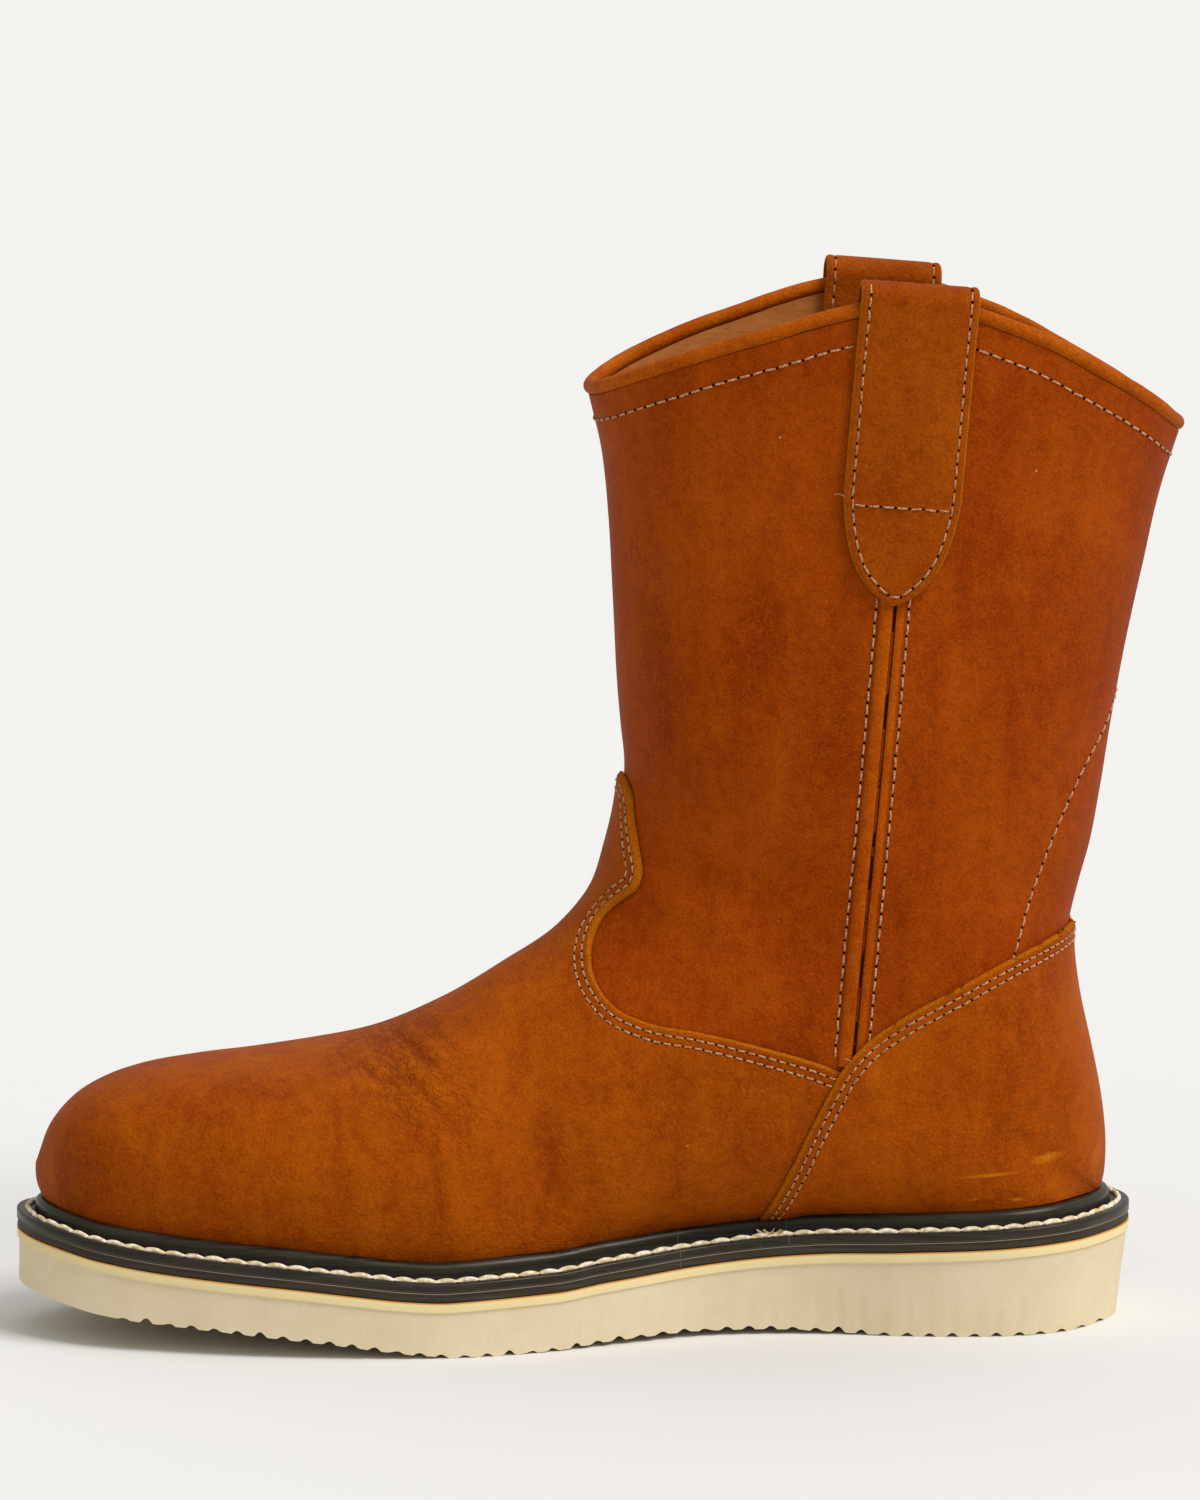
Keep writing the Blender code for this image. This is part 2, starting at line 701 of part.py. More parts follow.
def make_counter(face, group, cutters, finish):
    edge = [(x + CLEARANCE, z) for x, z in side_points(COUNTER_EDGE)]
    front = side_points(COUNTER_FRONT)
    behind = HEEL_X + COLLAR_OVERHANG
    foot = over_bead(behind, front[-1][0], steps=8)
    points = edge + [(behind, edge[-1][1])] + foot + front[-2:0:-1]
    prism = side_prism("counter_outline", points, cutters)
    counter = shell("counter", face, CLEARANCE + HEEL_EASE, OVERLAY - HEEL_EASE, group, finish)
    cut(counter, prism, "INTERSECT", "MANIFOLD")
    return counter


def seam_foot():
    """Height of the side seam's lower end, where it meets the counter's top edge."""
    return side_points(COUNTER_EDGE)[1][1]


def seam_x(z):
    """Side seam in side view, leaning back as it climbs."""
    return x_at(SEAM_PLACE) + SEAM_LEAN * (z - seam_foot())


def strap_top():
    """Highest point of the collar's binding."""
    middle = max(COLLAR, key=lambda row: row[1])[0]
    line = BACK_HEIGHT + middle * (FRONT_HEIGHT - BACK_HEIGHT)
    return line + COLLAR_RISE + CLEARANCE + BINDING


def strap_tip():
    return strap_top() - STRAP_DROP


def make_seams(face, group, cutters, finish):
    """Raised strip down each side seam, from under the strap's tip to the meeting of vamp and counter."""
    low = seam_foot() + 2 * CLEARANCE
    high = strap_tip() - 2 * CLEARANCE
    points = []
    for z, way in ((low, -1), (low, 1), (high, 1), (high, -1)):
        points.append((seam_x(z) + way * SEAM_WIDTH / 2, z))
    for name, side in (("side_seam_inner", INNER), ("side_seam_outer", OUTER)):
        prism = side_prism(name + "_outline", points, cutters, (0, side * REACH))
        strip = shell(name, face, CLEARANCE, SEAM_RAISE, group, finish)
        cut(strip, prism, "INTERSECT")


def tree_of(face):
    work = bmesh.new()
    work.from_mesh(face)
    tree = BVHTree.FromBMesh(work)
    work.free()
    return tree


def side_y(tree, x, z, side):
    """Y of the upper's outer face at a place in side view."""
    return tree.ray_cast(Vector((x, side * REACH, z)), Vector((0, -side, 0)))[0].y


def collar_height(tree, x, side, guess):
    """Height just under the collar's edge at a place along X."""
    z = guess
    hit = None
    while hit is None or hit.y * side < 0:
        z -= RAY_STEP
        hit = tree.ray_cast(Vector((x, side * REACH, z)), Vector((0, -side, 0)))[0]
    return z - 2 * RAY_STEP


def make_strap(name, face, side, group, finish):
    """Pull strap: up the outside from its pointed tip, over the binding in a loop and down the inside."""
    tree = tree_of(face)
    tip, top = strap_tip(), strap_top()
    leg_top = top - BINDING - STRAP_LOOP
    near = WALL / 2 + STRAP_EASE
    rings = []

    def add_row(height, swing, width, normal):
        """One row of the strap: its place, its distance out of the wall's middle and the way it faces."""
        centre_x = seam_x(height) + STRAP_OFFSET
        inside, outside = [], []
        for share in STRAP_ACROSS:
            x = centre_x + share * width
            z = height - share * width * SEAM_LEAN
            limit = collar_height(tree, x, side, top + BINDING)
            wall_y = side_y(tree, x, min(z, limit), side) - side * WALL / 2
            y = wall_y + side * swing
            inside.append((x, y, z))
            out = Vector((x, y, z)) + STRAP_LEATHER * Vector((0, side * normal[0], normal[1]))
            outside.append(tuple(out))
        rings.append(inside + outside[::-1])

    points = [row for row in STRAP_POINT if row[0] > 0]
    for share, width in points:
        add_row(tip + share * STRAP_DROP, near, width * STRAP_WIDTH / 2, (1, 0))
    for share in STRAP_UP:
        height = tip + share * (leg_top - tip)
        if height > tip + points[-1][0] * STRAP_DROP:
            add_row(height, near, STRAP_WIDTH / 2, (1, 0))
    add_row(leg_top, near, STRAP_WIDTH / 2, (1, 0))
    radius = BINDING / 2 + 2 * STRAP_EASE
    centre = top - BINDING / 2
    for turn in LOOP_TURNS:
        angle = pi * turn
        swing = radius * cos(angle)
        height = centre + radius * sin(angle)
        add_row(height, swing, STRAP_WIDTH / 2, (cos(angle), sin(angle)))
    add_row(leg_top, -near, STRAP_WIDTH / 2, (-1, 0))
    for share in STRAP_DOWN:
        add_row(leg_top - share * STRAP_INSIDE, -near, STRAP_WIDTH / 2, (-1, 0))
    return loft(name, rings, group, finish)


def make_binding(face_rows, group, finish):
    """Rolled binding that sits on the collar's edge all the way round."""
    radius = BINDING / 2
    rings = []
    count = len(face_rows)
    for k, (point, normal) in enumerate(face_rows):
        before, after = face_rows[k - 1][0], face_rows[(k + 1) % count][0]
        along = (after - before).normalized()
        out = (normal - along * normal.dot(along)).normalized()
        up = along.cross(out)
        up = up if up.z > 0 else -up
        centre = point - out * (WALL / 2) + up * (radius + CLEARANCE)
        ring = []
        for j in range(BINDING_SIDES):
            angle = pi * (2 * j + 1) / BINDING_SIDES
            ring.append(tuple(centre + radius * (cos(angle) * out + sin(angle) * up)))
        rings.append(ring)
    return loft("collar_binding", rings, group, finish, closed=True)


def collar_ring(face):
    """Points of the upper's top row, in order round the collar, with the face's normal at each."""
    feather = edge_pair(BEAD_WIDTH, 1.0)
    points, _ = section(SECTIONS[-1][0], front_line(), feather)
    points = [Vector(point) for point in points[:-1]]
    normals = {tuple(round(c, 6) for c in vertex.co): vertex.normal.copy() for vertex in face.vertices}
    ring = []
    for point in points:
        key = tuple(round(c, 6) for c in point)
        near = min(normals, key=lambda other: sum((a - b) ** 2 for a, b in zip(other, key)))
        ring.append((point, normals[near]))
    return ring


def build():
    clear_scene()
    boot = collection("pull_on_work_boot")
    cutters = collection("cutters")
    foam = material("cream foam", (0.78, 0.73, 0.60), 0.75)
    black_rubber = material("black rubber", (0.035, 0.033, 0.030), 0.45)
    leather = material("tan leather", (0.42, 0.16, 0.035), 0.5)
    overlay_leather = material("tan overlay leather", (0.44, 0.17, 0.035), 0.5)
    strap_leather = material("tan strap leather", (0.40, 0.15, 0.035), 0.5)
    binding_leather = material("light tan binding leather", (0.50, 0.21, 0.06), 0.5)
    insole_leather = material("natural insole leather", (0.55, 0.40, 0.25), 0.7)

    make_outsole(boot, foam)

    def midsole_low(x):
        return sole_top(x) + CLEARANCE

    def midsole_high(x):
        return sole_top(x) + CLEARANCE + MIDSOLE

    plate("midsole", edge_pair(), foot_shares(), midsole_low, midsole_high, boot, black_rubber)
    make_welt(boot, black_rubber)

    def insole_low(x):
        return midsole_high(x) + CLEARANCE

    def insole_high(x):
        return insole_low(x) + INSOLE

    tuck = BEAD_WIDTH + WALL + CLEARANCE + 2 * HEEL_EASE
    plate("insole", edge_pair(tuck, 1.0), foot_shares(), insole_low, insole_high, boot, insole_leather)
    face = upper_face()
    shell("upper", face, 0, -WALL, boot, leather)
    make_vamp(face, boot, cutters, overlay_leather)
    make_counter(face, boot, cutters, overlay_leather)
    make_seams(face, boot, cutters, overlay_leather)
    make_strap("pull_strap_inner", face, INNER, boot, strap_leather)
    make_strap("pull_strap_outer", face, OUTER, boot, strap_leather)
    make_binding(collar_ring(face), boot, binding_leather)
    bpy.data.meshes.remove(face)


build()
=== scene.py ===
"""Looks of a right pull-on work boot: fine leather, raw edges, stitches, rubber welt and foam wedge.

The toe points to -X, the inner side of the foot is at -Y and the floor is at Z = 0. Lengths are in metres.
"""

from math import cos, pi, radians, sin

import bmesh
import bpy
import numpy as np
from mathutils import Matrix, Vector, noise
from mathutils.bvhtree import BVHTree
from mathutils.kdtree import KDTree

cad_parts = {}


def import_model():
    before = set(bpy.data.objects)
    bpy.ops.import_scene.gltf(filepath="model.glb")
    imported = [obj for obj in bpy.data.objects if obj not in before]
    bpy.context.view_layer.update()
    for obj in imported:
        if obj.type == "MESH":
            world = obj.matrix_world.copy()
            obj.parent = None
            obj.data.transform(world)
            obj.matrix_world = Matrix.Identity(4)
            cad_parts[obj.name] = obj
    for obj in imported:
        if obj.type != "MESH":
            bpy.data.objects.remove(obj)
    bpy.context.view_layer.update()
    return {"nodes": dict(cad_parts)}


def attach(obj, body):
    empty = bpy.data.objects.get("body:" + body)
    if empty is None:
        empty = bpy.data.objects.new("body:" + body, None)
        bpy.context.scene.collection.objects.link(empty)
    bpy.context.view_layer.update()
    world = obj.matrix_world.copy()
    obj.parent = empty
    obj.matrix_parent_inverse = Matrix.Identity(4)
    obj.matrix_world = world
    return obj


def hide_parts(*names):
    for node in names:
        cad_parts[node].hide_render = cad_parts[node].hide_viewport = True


# Sizes of the sole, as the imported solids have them
LENGTH = 0.312
BALL_WIDTH = 0.114
HEEL_HEIGHT = 0.0262
TOE_SPRING = 0.0136
ARCH_LIFT = 0.0015
MIDSOLE = 0.0024
FLANGE = 0.0024
BEAD_HEIGHT = 0.0040
BEAD_WIDTH = 0.0040
BEAD_INSET = 0.0082
SOLE_TAPER = 0.0034
STRIP_HEIGHT = 0.0026
STRIP_STEP = 0.0005
RIPPLE_PITCH = 0.0062
RIPPLE_DEPTH = 0.0011

# Sizes of the upper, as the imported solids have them
WALL = 0.0022
OVERLAY = 0.0017
INSTEP_HEIGHT = 0.084
FRONT_HEIGHT = 0.2595
BACK_HEIGHT = 0.2485
COLLAR_RISE = 0.0318
COLLAR_OVERHANG = 0.012
SHAFT_WIDTH = 0.093
BINDING = 0.0042
SEAM_WIDTH = 0.0036
STRAP_WIDTH = 0.0325
STRAP_LEATHER = 0.0020
STRAP_DROP = 0.085
STRAP_LOOP = 0.0114
STRAP_INSIDE = 0.055
STRAP_EASE = 0.0006
STRAP_OFFSET = 0.0014
SEAM_PLACE = 0.2686
SEAM_LEAN = 0.081
CLEARANCE = 0.0003

HEEL_X = (LENGTH - COLLAR_OVERHANG) / 2
HALF_BALL = BALL_WIDTH / 2
HALF_SHAFT = SHAFT_WIDTH / 2
INNER, OUTER = -1, 1
REACH = 1.5 * BALL_WIDTH

# Outline of the sole: share of the length from the heel, inner and outer half widths as shares of half the ball
OUTLINE = (
    (0.00, 0.00, 0.00),
    (0.03, 0.42, 0.44),
    (0.06, 0.60, 0.62),
    (0.10, 0.70, 0.70),
    (0.16, 0.72, 0.735),
    (0.22, 0.675, 0.76),
    (0.28, 0.60, 0.80),
    (0.34, 0.57, 0.845),
    (0.39, 0.59, 0.88),
    (0.46, 0.73, 0.93),
    (0.53, 0.885, 0.985),
    (0.60, 0.985, 1.035),
    (0.67, 1.00, 1.055),
    (0.74, 0.965, 1.03),
    (0.80, 0.90, 0.965),
    (0.86, 0.795, 0.85),
    (0.91, 0.685, 0.70),
    (0.95, 0.545, 0.53),
    (0.98, 0.36, 0.34),
    (1.00, 0.00, 0.00),
)

# Sole in side view: share of the length, part of the arch lift, of the toe spring and of the heel height
SOLE = (
    (0.00, 0.0, 0.00, 1.02),
    (0.06, 0.0, 0.00, 1.00),
    (0.15, 0.0, 0.00, 0.947),
    (0.22, 0.0, 0.00, 0.915),
    (0.29, 0.6, 0.00, 0.850),
    (0.36, 1.0, 0.00, 0.765),
    (0.42, 1.0, 0.00, 0.700),
    (0.48, 0.8, 0.00, 0.650),
    (0.53, 0.0, 0.00, 0.635),
    (0.62, 0.0, 0.00, 0.595),
    (0.66, 0.0, 0.09, 0.565),
    (0.71, 0.0, 0.24, 0.550),
    (0.76, 0.0, 0.37, 0.545),
    (0.82, 0.0, 0.49, 0.540),
    (0.88, 0.0, 0.59, 0.550),
    (0.93, 0.0, 0.70, 0.570),
    (0.96, 0.0, 0.83, 0.572),
    (1.00, 0.0, 1.00, 0.565),
)

# How far the bead stands in from the edge of the welt: share of the length, part of the bead inset
BEAD_LINE = (
    (0.00, 0.68),
    (0.12, 0.80),
    (0.30, 1.00),
    (0.70, 1.00),
    (0.88, 0.85),
    (1.00, 0.62),
)

# How far the foot of the sole's side stands in: share of the length, part of the sole's taper
TAPER_LINE = (
    (0.00, 1.00),
    (0.25, 0.85),
    (0.60, 0.40),
    (0.90, 0.15),
    (1.00, 0.10),
)

# Front line of the upper: share of the length, part of the instep height above the welt, part of the shaft front
FRONT = (
    (0.977, 0.110, 0.000),
    (0.963, 0.246, 0.000),
    (0.940, 0.351, 0.000),
    (0.914, 0.415, 0.000),
    (0.888, 0.458, 0.000),
    (0.836, 0.510, 0.000),
    (0.782, 0.548, 0.000),
    (0.729, 0.599, 0.000),
    (0.673, 0.670, 0.000),
    (0.619, 0.768, 0.000),
    (0.564, 0.877, 0.000),
    (0.510, 1.000, 0.000),
    (0.481, 1.000, 0.074),
    (0.468, 1.000, 0.153),
    (0.459, 1.000, 0.232),
    (0.456, 1.000, 0.300),
    (0.460, 1.000, 0.380),
    (0.464, 1.000, 0.480),
    (0.467, 1.000, 0.600),
    (0.471, 1.000, 0.770),
    (0.4765, 1.000, 0.900),
    (0.4875, 1.000, 1.000),
)

# Back line of the upper: part of the height from the welt to the collar, of the heel tuck and of the overhang
BACK = (
    (0.000, 1.00, 0.000),
    (0.045, 0.88, 0.000),
    (0.100, 0.98, 0.000),
    (0.190, 1.35, 0.000),
    (0.280, 1.76, 0.000),
    (0.340, 1.87, 0.000),
    (0.400, 1.62, 0.000),
    (0.460, 1.26, 0.000),
    (0.520, 1.05, 0.020),
    (0.620, 1.00, 0.155),
    (0.720, 1.00, 0.330),
    (0.830, 1.00, 0.560),
    (0.930, 1.00, 0.790),
    (1.000, 1.00, 1.000),
)

# Height of the collar over the line from its back to its front: share from the back, part of the rise
COLLAR = (
    (0.000, 0.000),
    (0.077, 0.270),
    (0.162, 0.500),
    (0.240, 0.700),
    (0.320, 0.850),
    (0.400, 0.960),
    (0.475, 1.000),
    (0.570, 0.915),
    (0.650, 0.785),
    (0.717, 0.650),
    (0.789, 0.515),
    (0.862, 0.355),
    (0.934, 0.185),
    (1.000, 0.000),
)

# Sections of the upper, toe to collar. Columns: station; back end, 0 to 1 along the welt and 1 to 2 up the back;
# front end, share of the front line; height of the widest place; swell over the welt line; inner and outer
# shares of half the ball; share of half the shaft; roundness below and above; lean to the inner side; collar rise
SECTIONS = (
    (0, 0.000, 0.000, 0.30, 1.03, 0.000, 0.000, 0.000, 2.2, 2.20, 0.00, 0.00),
    (1, 0.005, 0.018, 0.30, 1.03, 0.000, 0.000, 0.000, 2.2, 2.20, 0.00, 0.00),
    (2, 0.016, 0.040, 0.30, 1.03, 0.000, 0.000, 0.000, 2.2, 2.25, 0.01, 0.00),
    (3, 0.040, 0.070, 0.30, 1.03, 0.000, 0.000, 0.000, 2.2, 2.35, 0.02, 0.00),
    (4, 0.080, 0.112, 0.30, 1.04, 0.000, 0.000, 0.000, 2.2, 2.40, 0.03, 0.00),
    (5, 0.140, 0.169, 0.30, 1.05, 0.000, 0.000, 0.000, 2.2, 2.35, 0.05, 0.00),
    (6, 0.220, 0.243, 0.30, 1.06, 0.000, 0.000, 0.000, 2.2, 2.20, 0.07, 0.00),
    (7, 0.300, 0.312, 0.31, 1.06, 0.000, 0.000, 0.000, 2.2, 2.05, 0.09, 0.00),
    (8, 0.380, 0.370, 0.32, 0.85, 0.170, 0.190, 0.000, 2.2, 1.92, 0.09, 0.00),
    (9, 0.460, 0.425, 0.34, 0.45, 0.420, 0.450, 0.000, 2.2, 1.86, 0.08, 0.00),
    (10, 0.550, 0.475, 0.37, 0.00, 0.670, 0.755, 0.000, 2.2, 1.86, 0.06, 0.00),
    (11, 0.650, 0.520, 0.41, 0.00, 0.490, 0.550, 0.200, 2.2, 1.88, 0.04, 0.00),
    (12, 0.760, 0.565, 0.44, 0.00, 0.320, 0.365, 0.400, 2.2, 1.92, 0.02, 0.00),
    (13, 0.870, 0.610, 0.47, 0.00, 0.160, 0.190, 0.610, 2.2, 1.98, 0.01, 0.00),
    (14, 0.930, 0.640, 0.48, 0.00, 0.095, 0.110, 0.700, 2.2, 2.01, 0.00, 0.00),
    (15, 0.965, 0.658, 0.48, 0.00, 0.055, 0.065, 0.755, 2.2, 2.03, 0.00, 0.00),
    (16, 0.983, 0.669, 0.49, 0.00, 0.040, 0.050, 0.775, 2.2, 2.04, 0.00, 0.00),
    (17, 0.994, 0.678, 0.49, 0.00, 0.032, 0.042, 0.787, 2.2, 2.05, 0.00, 0.00),
    (18, 1.000, 0.687, 0.49, 0.00, 0.028, 0.038, 0.793, 2.2, 2.05, 0.00, 0.00),
    (19, 1.050, 0.706, 0.49, 0.00, 0.010, 0.015, 0.825, 2.2, 2.06, 0.00, 0.00),
    (20, 1.150, 0.740, 0.50, 0.00, 0.000, 0.000, 0.860, 2.15, 2.10, 0.00, 0.00),
    (21, 1.280, 0.778, 0.50, 0.00, 0.000, 0.000, 0.886, 2.1, 2.10, 0.00, 0.02),
    (22, 1.420, 0.815, 0.50, 0.00, 0.000, 0.000, 0.911, 2.1, 2.10, 0.00, 0.08),
    (23, 1.560, 0.852, 0.50, 0.00, 0.000, 0.000, 0.932, 2.1, 2.10, 0.00, 0.22),
    (24, 1.710, 0.895, 0.50, 0.00, 0.000, 0.000, 0.952, 2.1, 2.10, 0.00, 0.47),
    (25, 1.860, 0.945, 0.50, 0.00, 0.000, 0.000, 0.975, 2.1, 2.10, 0.00, 0.77),
    (26, 2.000, 1.000, 0.50, 0.00, 0.000, 0.000, 1.000, 2.1, 2.10, 0.00, 1.00),
)

# Edge of the vamp in side view, ridge to counter: share of the length, part of the height to the collar's front
VAMP_EDGE = (
    (0.4590, 0.601),
    (0.4513, 0.580),
    (0.4487, 0.548),
    (0.4460, 0.519),
    (0.4440, 0.493),
    (0.4487, 0.477),
    (0.4625, 0.462),
    (0.4795, 0.440),
    (0.4888, 0.415),
    (0.4885, 0.385),
    (0.4737, 0.358),
    (0.4433, 0.341),
    (0.3990, 0.332),
    (0.3550, 0.320),
    (0.3190, 0.308),
    (0.2923, 0.298),
    (0.2747, 0.289),
)

# Top edge of the counter in side view, from its meeting with the vamp to the back
COUNTER_EDGE = (
    (0.2747, 0.289),
    (0.2596, 0.311),
    (0.2220, 0.345),
    (0.1770, 0.374),
    (0.1320, 0.400),
    (0.0830, 0.421),
    (0.0410, 0.433),
    (-0.0200, 0.437),
)

# Front edge of the counter, from its meeting with the vamp down to the welt
COUNTER_FRONT = (
    (0.2747, 0.289),
    (0.2968, 0.238),
    (0.3180, 0.183),
    (0.3390, 0.1295),
)

# Strap seen from the side: share of the drop above its tip, share of half its width
STRAP_POINT = (
    (0.000, 0.00),
    (0.012, 0.16),
    (0.045, 0.40),
    (0.095, 0.63),
    (0.165, 0.81),
    (0.250, 0.93),
    (0.340, 1.00),
)


def follow(rows, place, level=False):
    """Columns of a table at places in its first column, on a smooth curve that never overshoots when level."""
    table = np.array(rows, float)
    keys, values = table[:, 0], table[:, 1:]
    steps = np.diff(keys)
    rises = np.diff(values, axis=0) / steps[:, None]
    slopes = np.empty_like(values)
    slopes[0], slopes[-1] = rises[0], rises[-1]
    before, after = steps[:-1, None], steps[1:, None]
    slopes[1:-1] = (rises[:-1] * after + rises[1:] * before) / (before + after)
    if level:
        low, high = rises[:-1], rises[1:]
        same = low * high > 0
        total = np.where(same, low + high, 1)
        slopes[1:-1] = np.where(same, 2 * low * high / total, 0)
    place = np.clip(np.asarray(place, float), keys[0], keys[-1])
    k = np.clip(np.searchsorted(keys, place, side="right") - 1, 0, len(steps) - 1)
    h = steps[k][..., None]
    t = (place - keys[k])[..., None] / h
    return (
        values[k] * (1 + 2 * t) * (1 - t) ** 2
        + slopes[k] * h * t * (1 - t) ** 2
        + values[k + 1] * t * t * (3 - 2 * t)
        + slopes[k + 1] * h * t * t * (t - 1)
    )


ROUND_OUTLINE = [(np.arccos(1 - 2 * share), inner, outer) for share, inner, outer in OUTLINE]


def share_at(x):
    return (HEEL_X - np.asarray(x)) / LENGTH


def x_at(share):
    return HEEL_X - share * LENGTH


def sole_bottom(x):
    line = follow(SOLE, share_at(x), level=True)
    return line[..., 0] * ARCH_LIFT + line[..., 1] * TOE_SPRING


def sole_top(x):
    return sole_bottom(x) + follow(SOLE, share_at(x), level=True)[..., 2] * HEEL_HEIGHT


def welt_base(x):
    """Underside of the welt and the upper, on the midsole."""
    return sole_top(x) + MIDSOLE + 2 * CLEARANCE


def bead_top(x):
    return welt_base(x) + FLANGE + BEAD_HEIGHT


def outline(side, turns, extra=0.0, bead=0.0, taper=0.0):
    """Points of the sole's edge on one side at turns from heel to toe, moved in by extra and parts of two lines."""
    column = 0 if side == INNER else 1
    x = HEEL_X - LENGTH * (1 - np.cos(turns)) / 2
    y = side * HALF_BALL * follow(ROUND_OUTLINE, turns)[:, column]
    along_x, along_y = np.gradient(x), np.gradient(y)
    along_y[0], along_y[-1] = side, -side
    along_x[0] = along_x[-1] = 0
    size = np.hypot(along_x, along_y)
    shares = share_at(x)
    inset = extra + bead * BEAD_INSET * follow(BEAD_LINE, shares)[:, 0]
    inset = inset + taper * SOLE_TAPER * follow(TAPER_LINE, shares)[:, 0]
    return x - side * inset * along_y / size, y + side * inset * along_x / size


EDGE_TURNS = np.linspace(0, pi, 241)
FEATHER = {side: outline(side, EDGE_TURNS, BEAD_WIDTH, 1.0) for side in (INNER, OUTER)}


def half_edge(edge, x):
    xs, ys = edge
    return float(np.interp(x, xs[::-1], ys[::-1]))


def front_line():
    """Points of the upper's front line and the share of its length at each."""
    top_of_instep = min(FRONT, key=lambda row: abs(row[1] - 1))[0]
    throat = float(bead_top(x_at(top_of_instep))) + INSTEP_HEIGHT
    points = []
    for share, instep, shaft in FRONT:
        x = x_at(share)
        foot = float(bead_top(x)) + instep * INSTEP_HEIGHT
        points.append((x, throat + shaft * (FRONT_HEIGHT - throat) if shaft else foot))
    gaps = np.hypot(*np.diff(points, axis=0).T)
    lengths = np.concatenate([[0], np.cumsum(gaps)])
    return [(length / lengths[-1], x, z) for length, (x, z) in zip(lengths, points)]


FRONT_LINE = front_line()


def back_end(place):
    """Point of the welt line or back line: 0 at the toe, 1 at the heel, 2 at the collar."""
    toe, heel = FEATHER[INNER][0][-1], FEATHER[INNER][0][0]
    if place <= 1:
        x = toe + place * (heel - toe)
        return x, float(bead_top(x))
    low = float(bead_top(heel))
    tuck, over = follow(BACK, place - 1)
    tuck_start = HEEL_X - heel
    x = HEEL_X - tuck_start * tuck + over * (tuck_start + COLLAR_OVERHANG)
    return x, low + (place - 1) * (BACK_HEIGHT - low)


def half_section(low_width, full_width, widest, low_round, high_round, low_steps, high_steps):
    """Shares of the height and half widths down one side of a section, from its foot to the ridge."""
    ratio = min(low_width / full_width, 0.985) if full_width > 1e-9 else 0.0
    reach = widest / (1 - ratio**low_round) ** (1 / low_round)
    start = np.arcsin((widest / reach) ** (low_round / 2))
    low = np.linspace(start, 0, low_steps + 1)[:-1]
    high = np.linspace(0, pi / 2, high_steps + 1)
    low_shares = widest - reach * np.sin(low) ** (2 / low_round)
    high_shares = widest + (1 - widest) * np.sin(high) ** (2 / high_round)
    shares = np.concatenate([low_shares, high_shares])
    widths = np.concatenate(
        [np.cos(low) ** (2 / low_round), np.maximum(np.cos(high), 0) ** (2 / high_round)]
    )
    shares[0], widths[0] = 0.0, ratio
    return shares, widths


# The toe's tip swells forward over the bead: how far, and up to which station
TOE_SWELL = 0.0007
TOE_SWELL_END = 3.0


def section(place, low_steps, high_steps):
    """Points of one section of the upper's outer face, from the inner foot over the ridge to the outer foot."""
    row = follow(SECTIONS, place, level=True)
    back, ridge, widest, swell, inner, outer, shaft, low, high, lean, rise = row
    back = 1.0 if abs(back - 1) < 1e-6 else max(back, 0.0)
    x_back, z_back = back_end(back)
    x_front, z_front = follow(FRONT_LINE, ridge)
    swelling = TOE_SWELL * max(1 - place / TOE_SWELL_END, 0)
    halves = {}
    for side, foot in ((INNER, inner), (OUTER, outer)):
        low_width = abs(half_edge(FEATHER[side], x_back)) if back < 1 else 0.0
        full = swell * low_width + foot * HALF_BALL + shaft * HALF_SHAFT
        shares, widths = half_section(low_width, full, widest, low, high, low_steps, high_steps)
        points = np.empty((len(shares), 3))
        points[:, 0] = x_back + shares * (x_front - x_back) - swelling * 4 * shares * (1 - shares)
        points[:, 1] = side * widths * full - lean * HALF_BALL * shares**2
        points[:, 2] = z_back + shares * (z_front - z_back) + rise * COLLAR_RISE * follow(COLLAR, shares)[:, 0]
        if low_width:
            points[0, 1] = half_edge(FEATHER[side], points[0, 0])
        halves[side] = points
    points = np.concatenate([halves[INNER], halves[OUTER][-2::-1]])
    ends = points[[0, -1]].copy()
    if back <= 1:
        ends[:, 2] = welt_base(ends[:, 0])
    return np.concatenate([ends[:1], points, ends[1:]])


def even_places(first, last, gap):
    """Places of sections so close that no point moves more than a gap from one to the next."""
    places = np.arange(first, last + 1e-9, 0.04)
    rows = np.array([section(place, 5, 5) for place in places])
    moves = np.linalg.norm(np.diff(rows, axis=0), axis=2).max(axis=1)
    lengths = np.concatenate([[0], np.cumsum(moves)])
    count = int(lengths[-1] / gap) + 1
    made = np.interp(np.linspace(0, lengths[-1], count), lengths, places)
    heel = min(SECTIONS, key=lambda row: abs(row[1] - 1))[0]
    if first < heel < last:
        made[np.argmin(abs(made - heel))] = heel
    return made


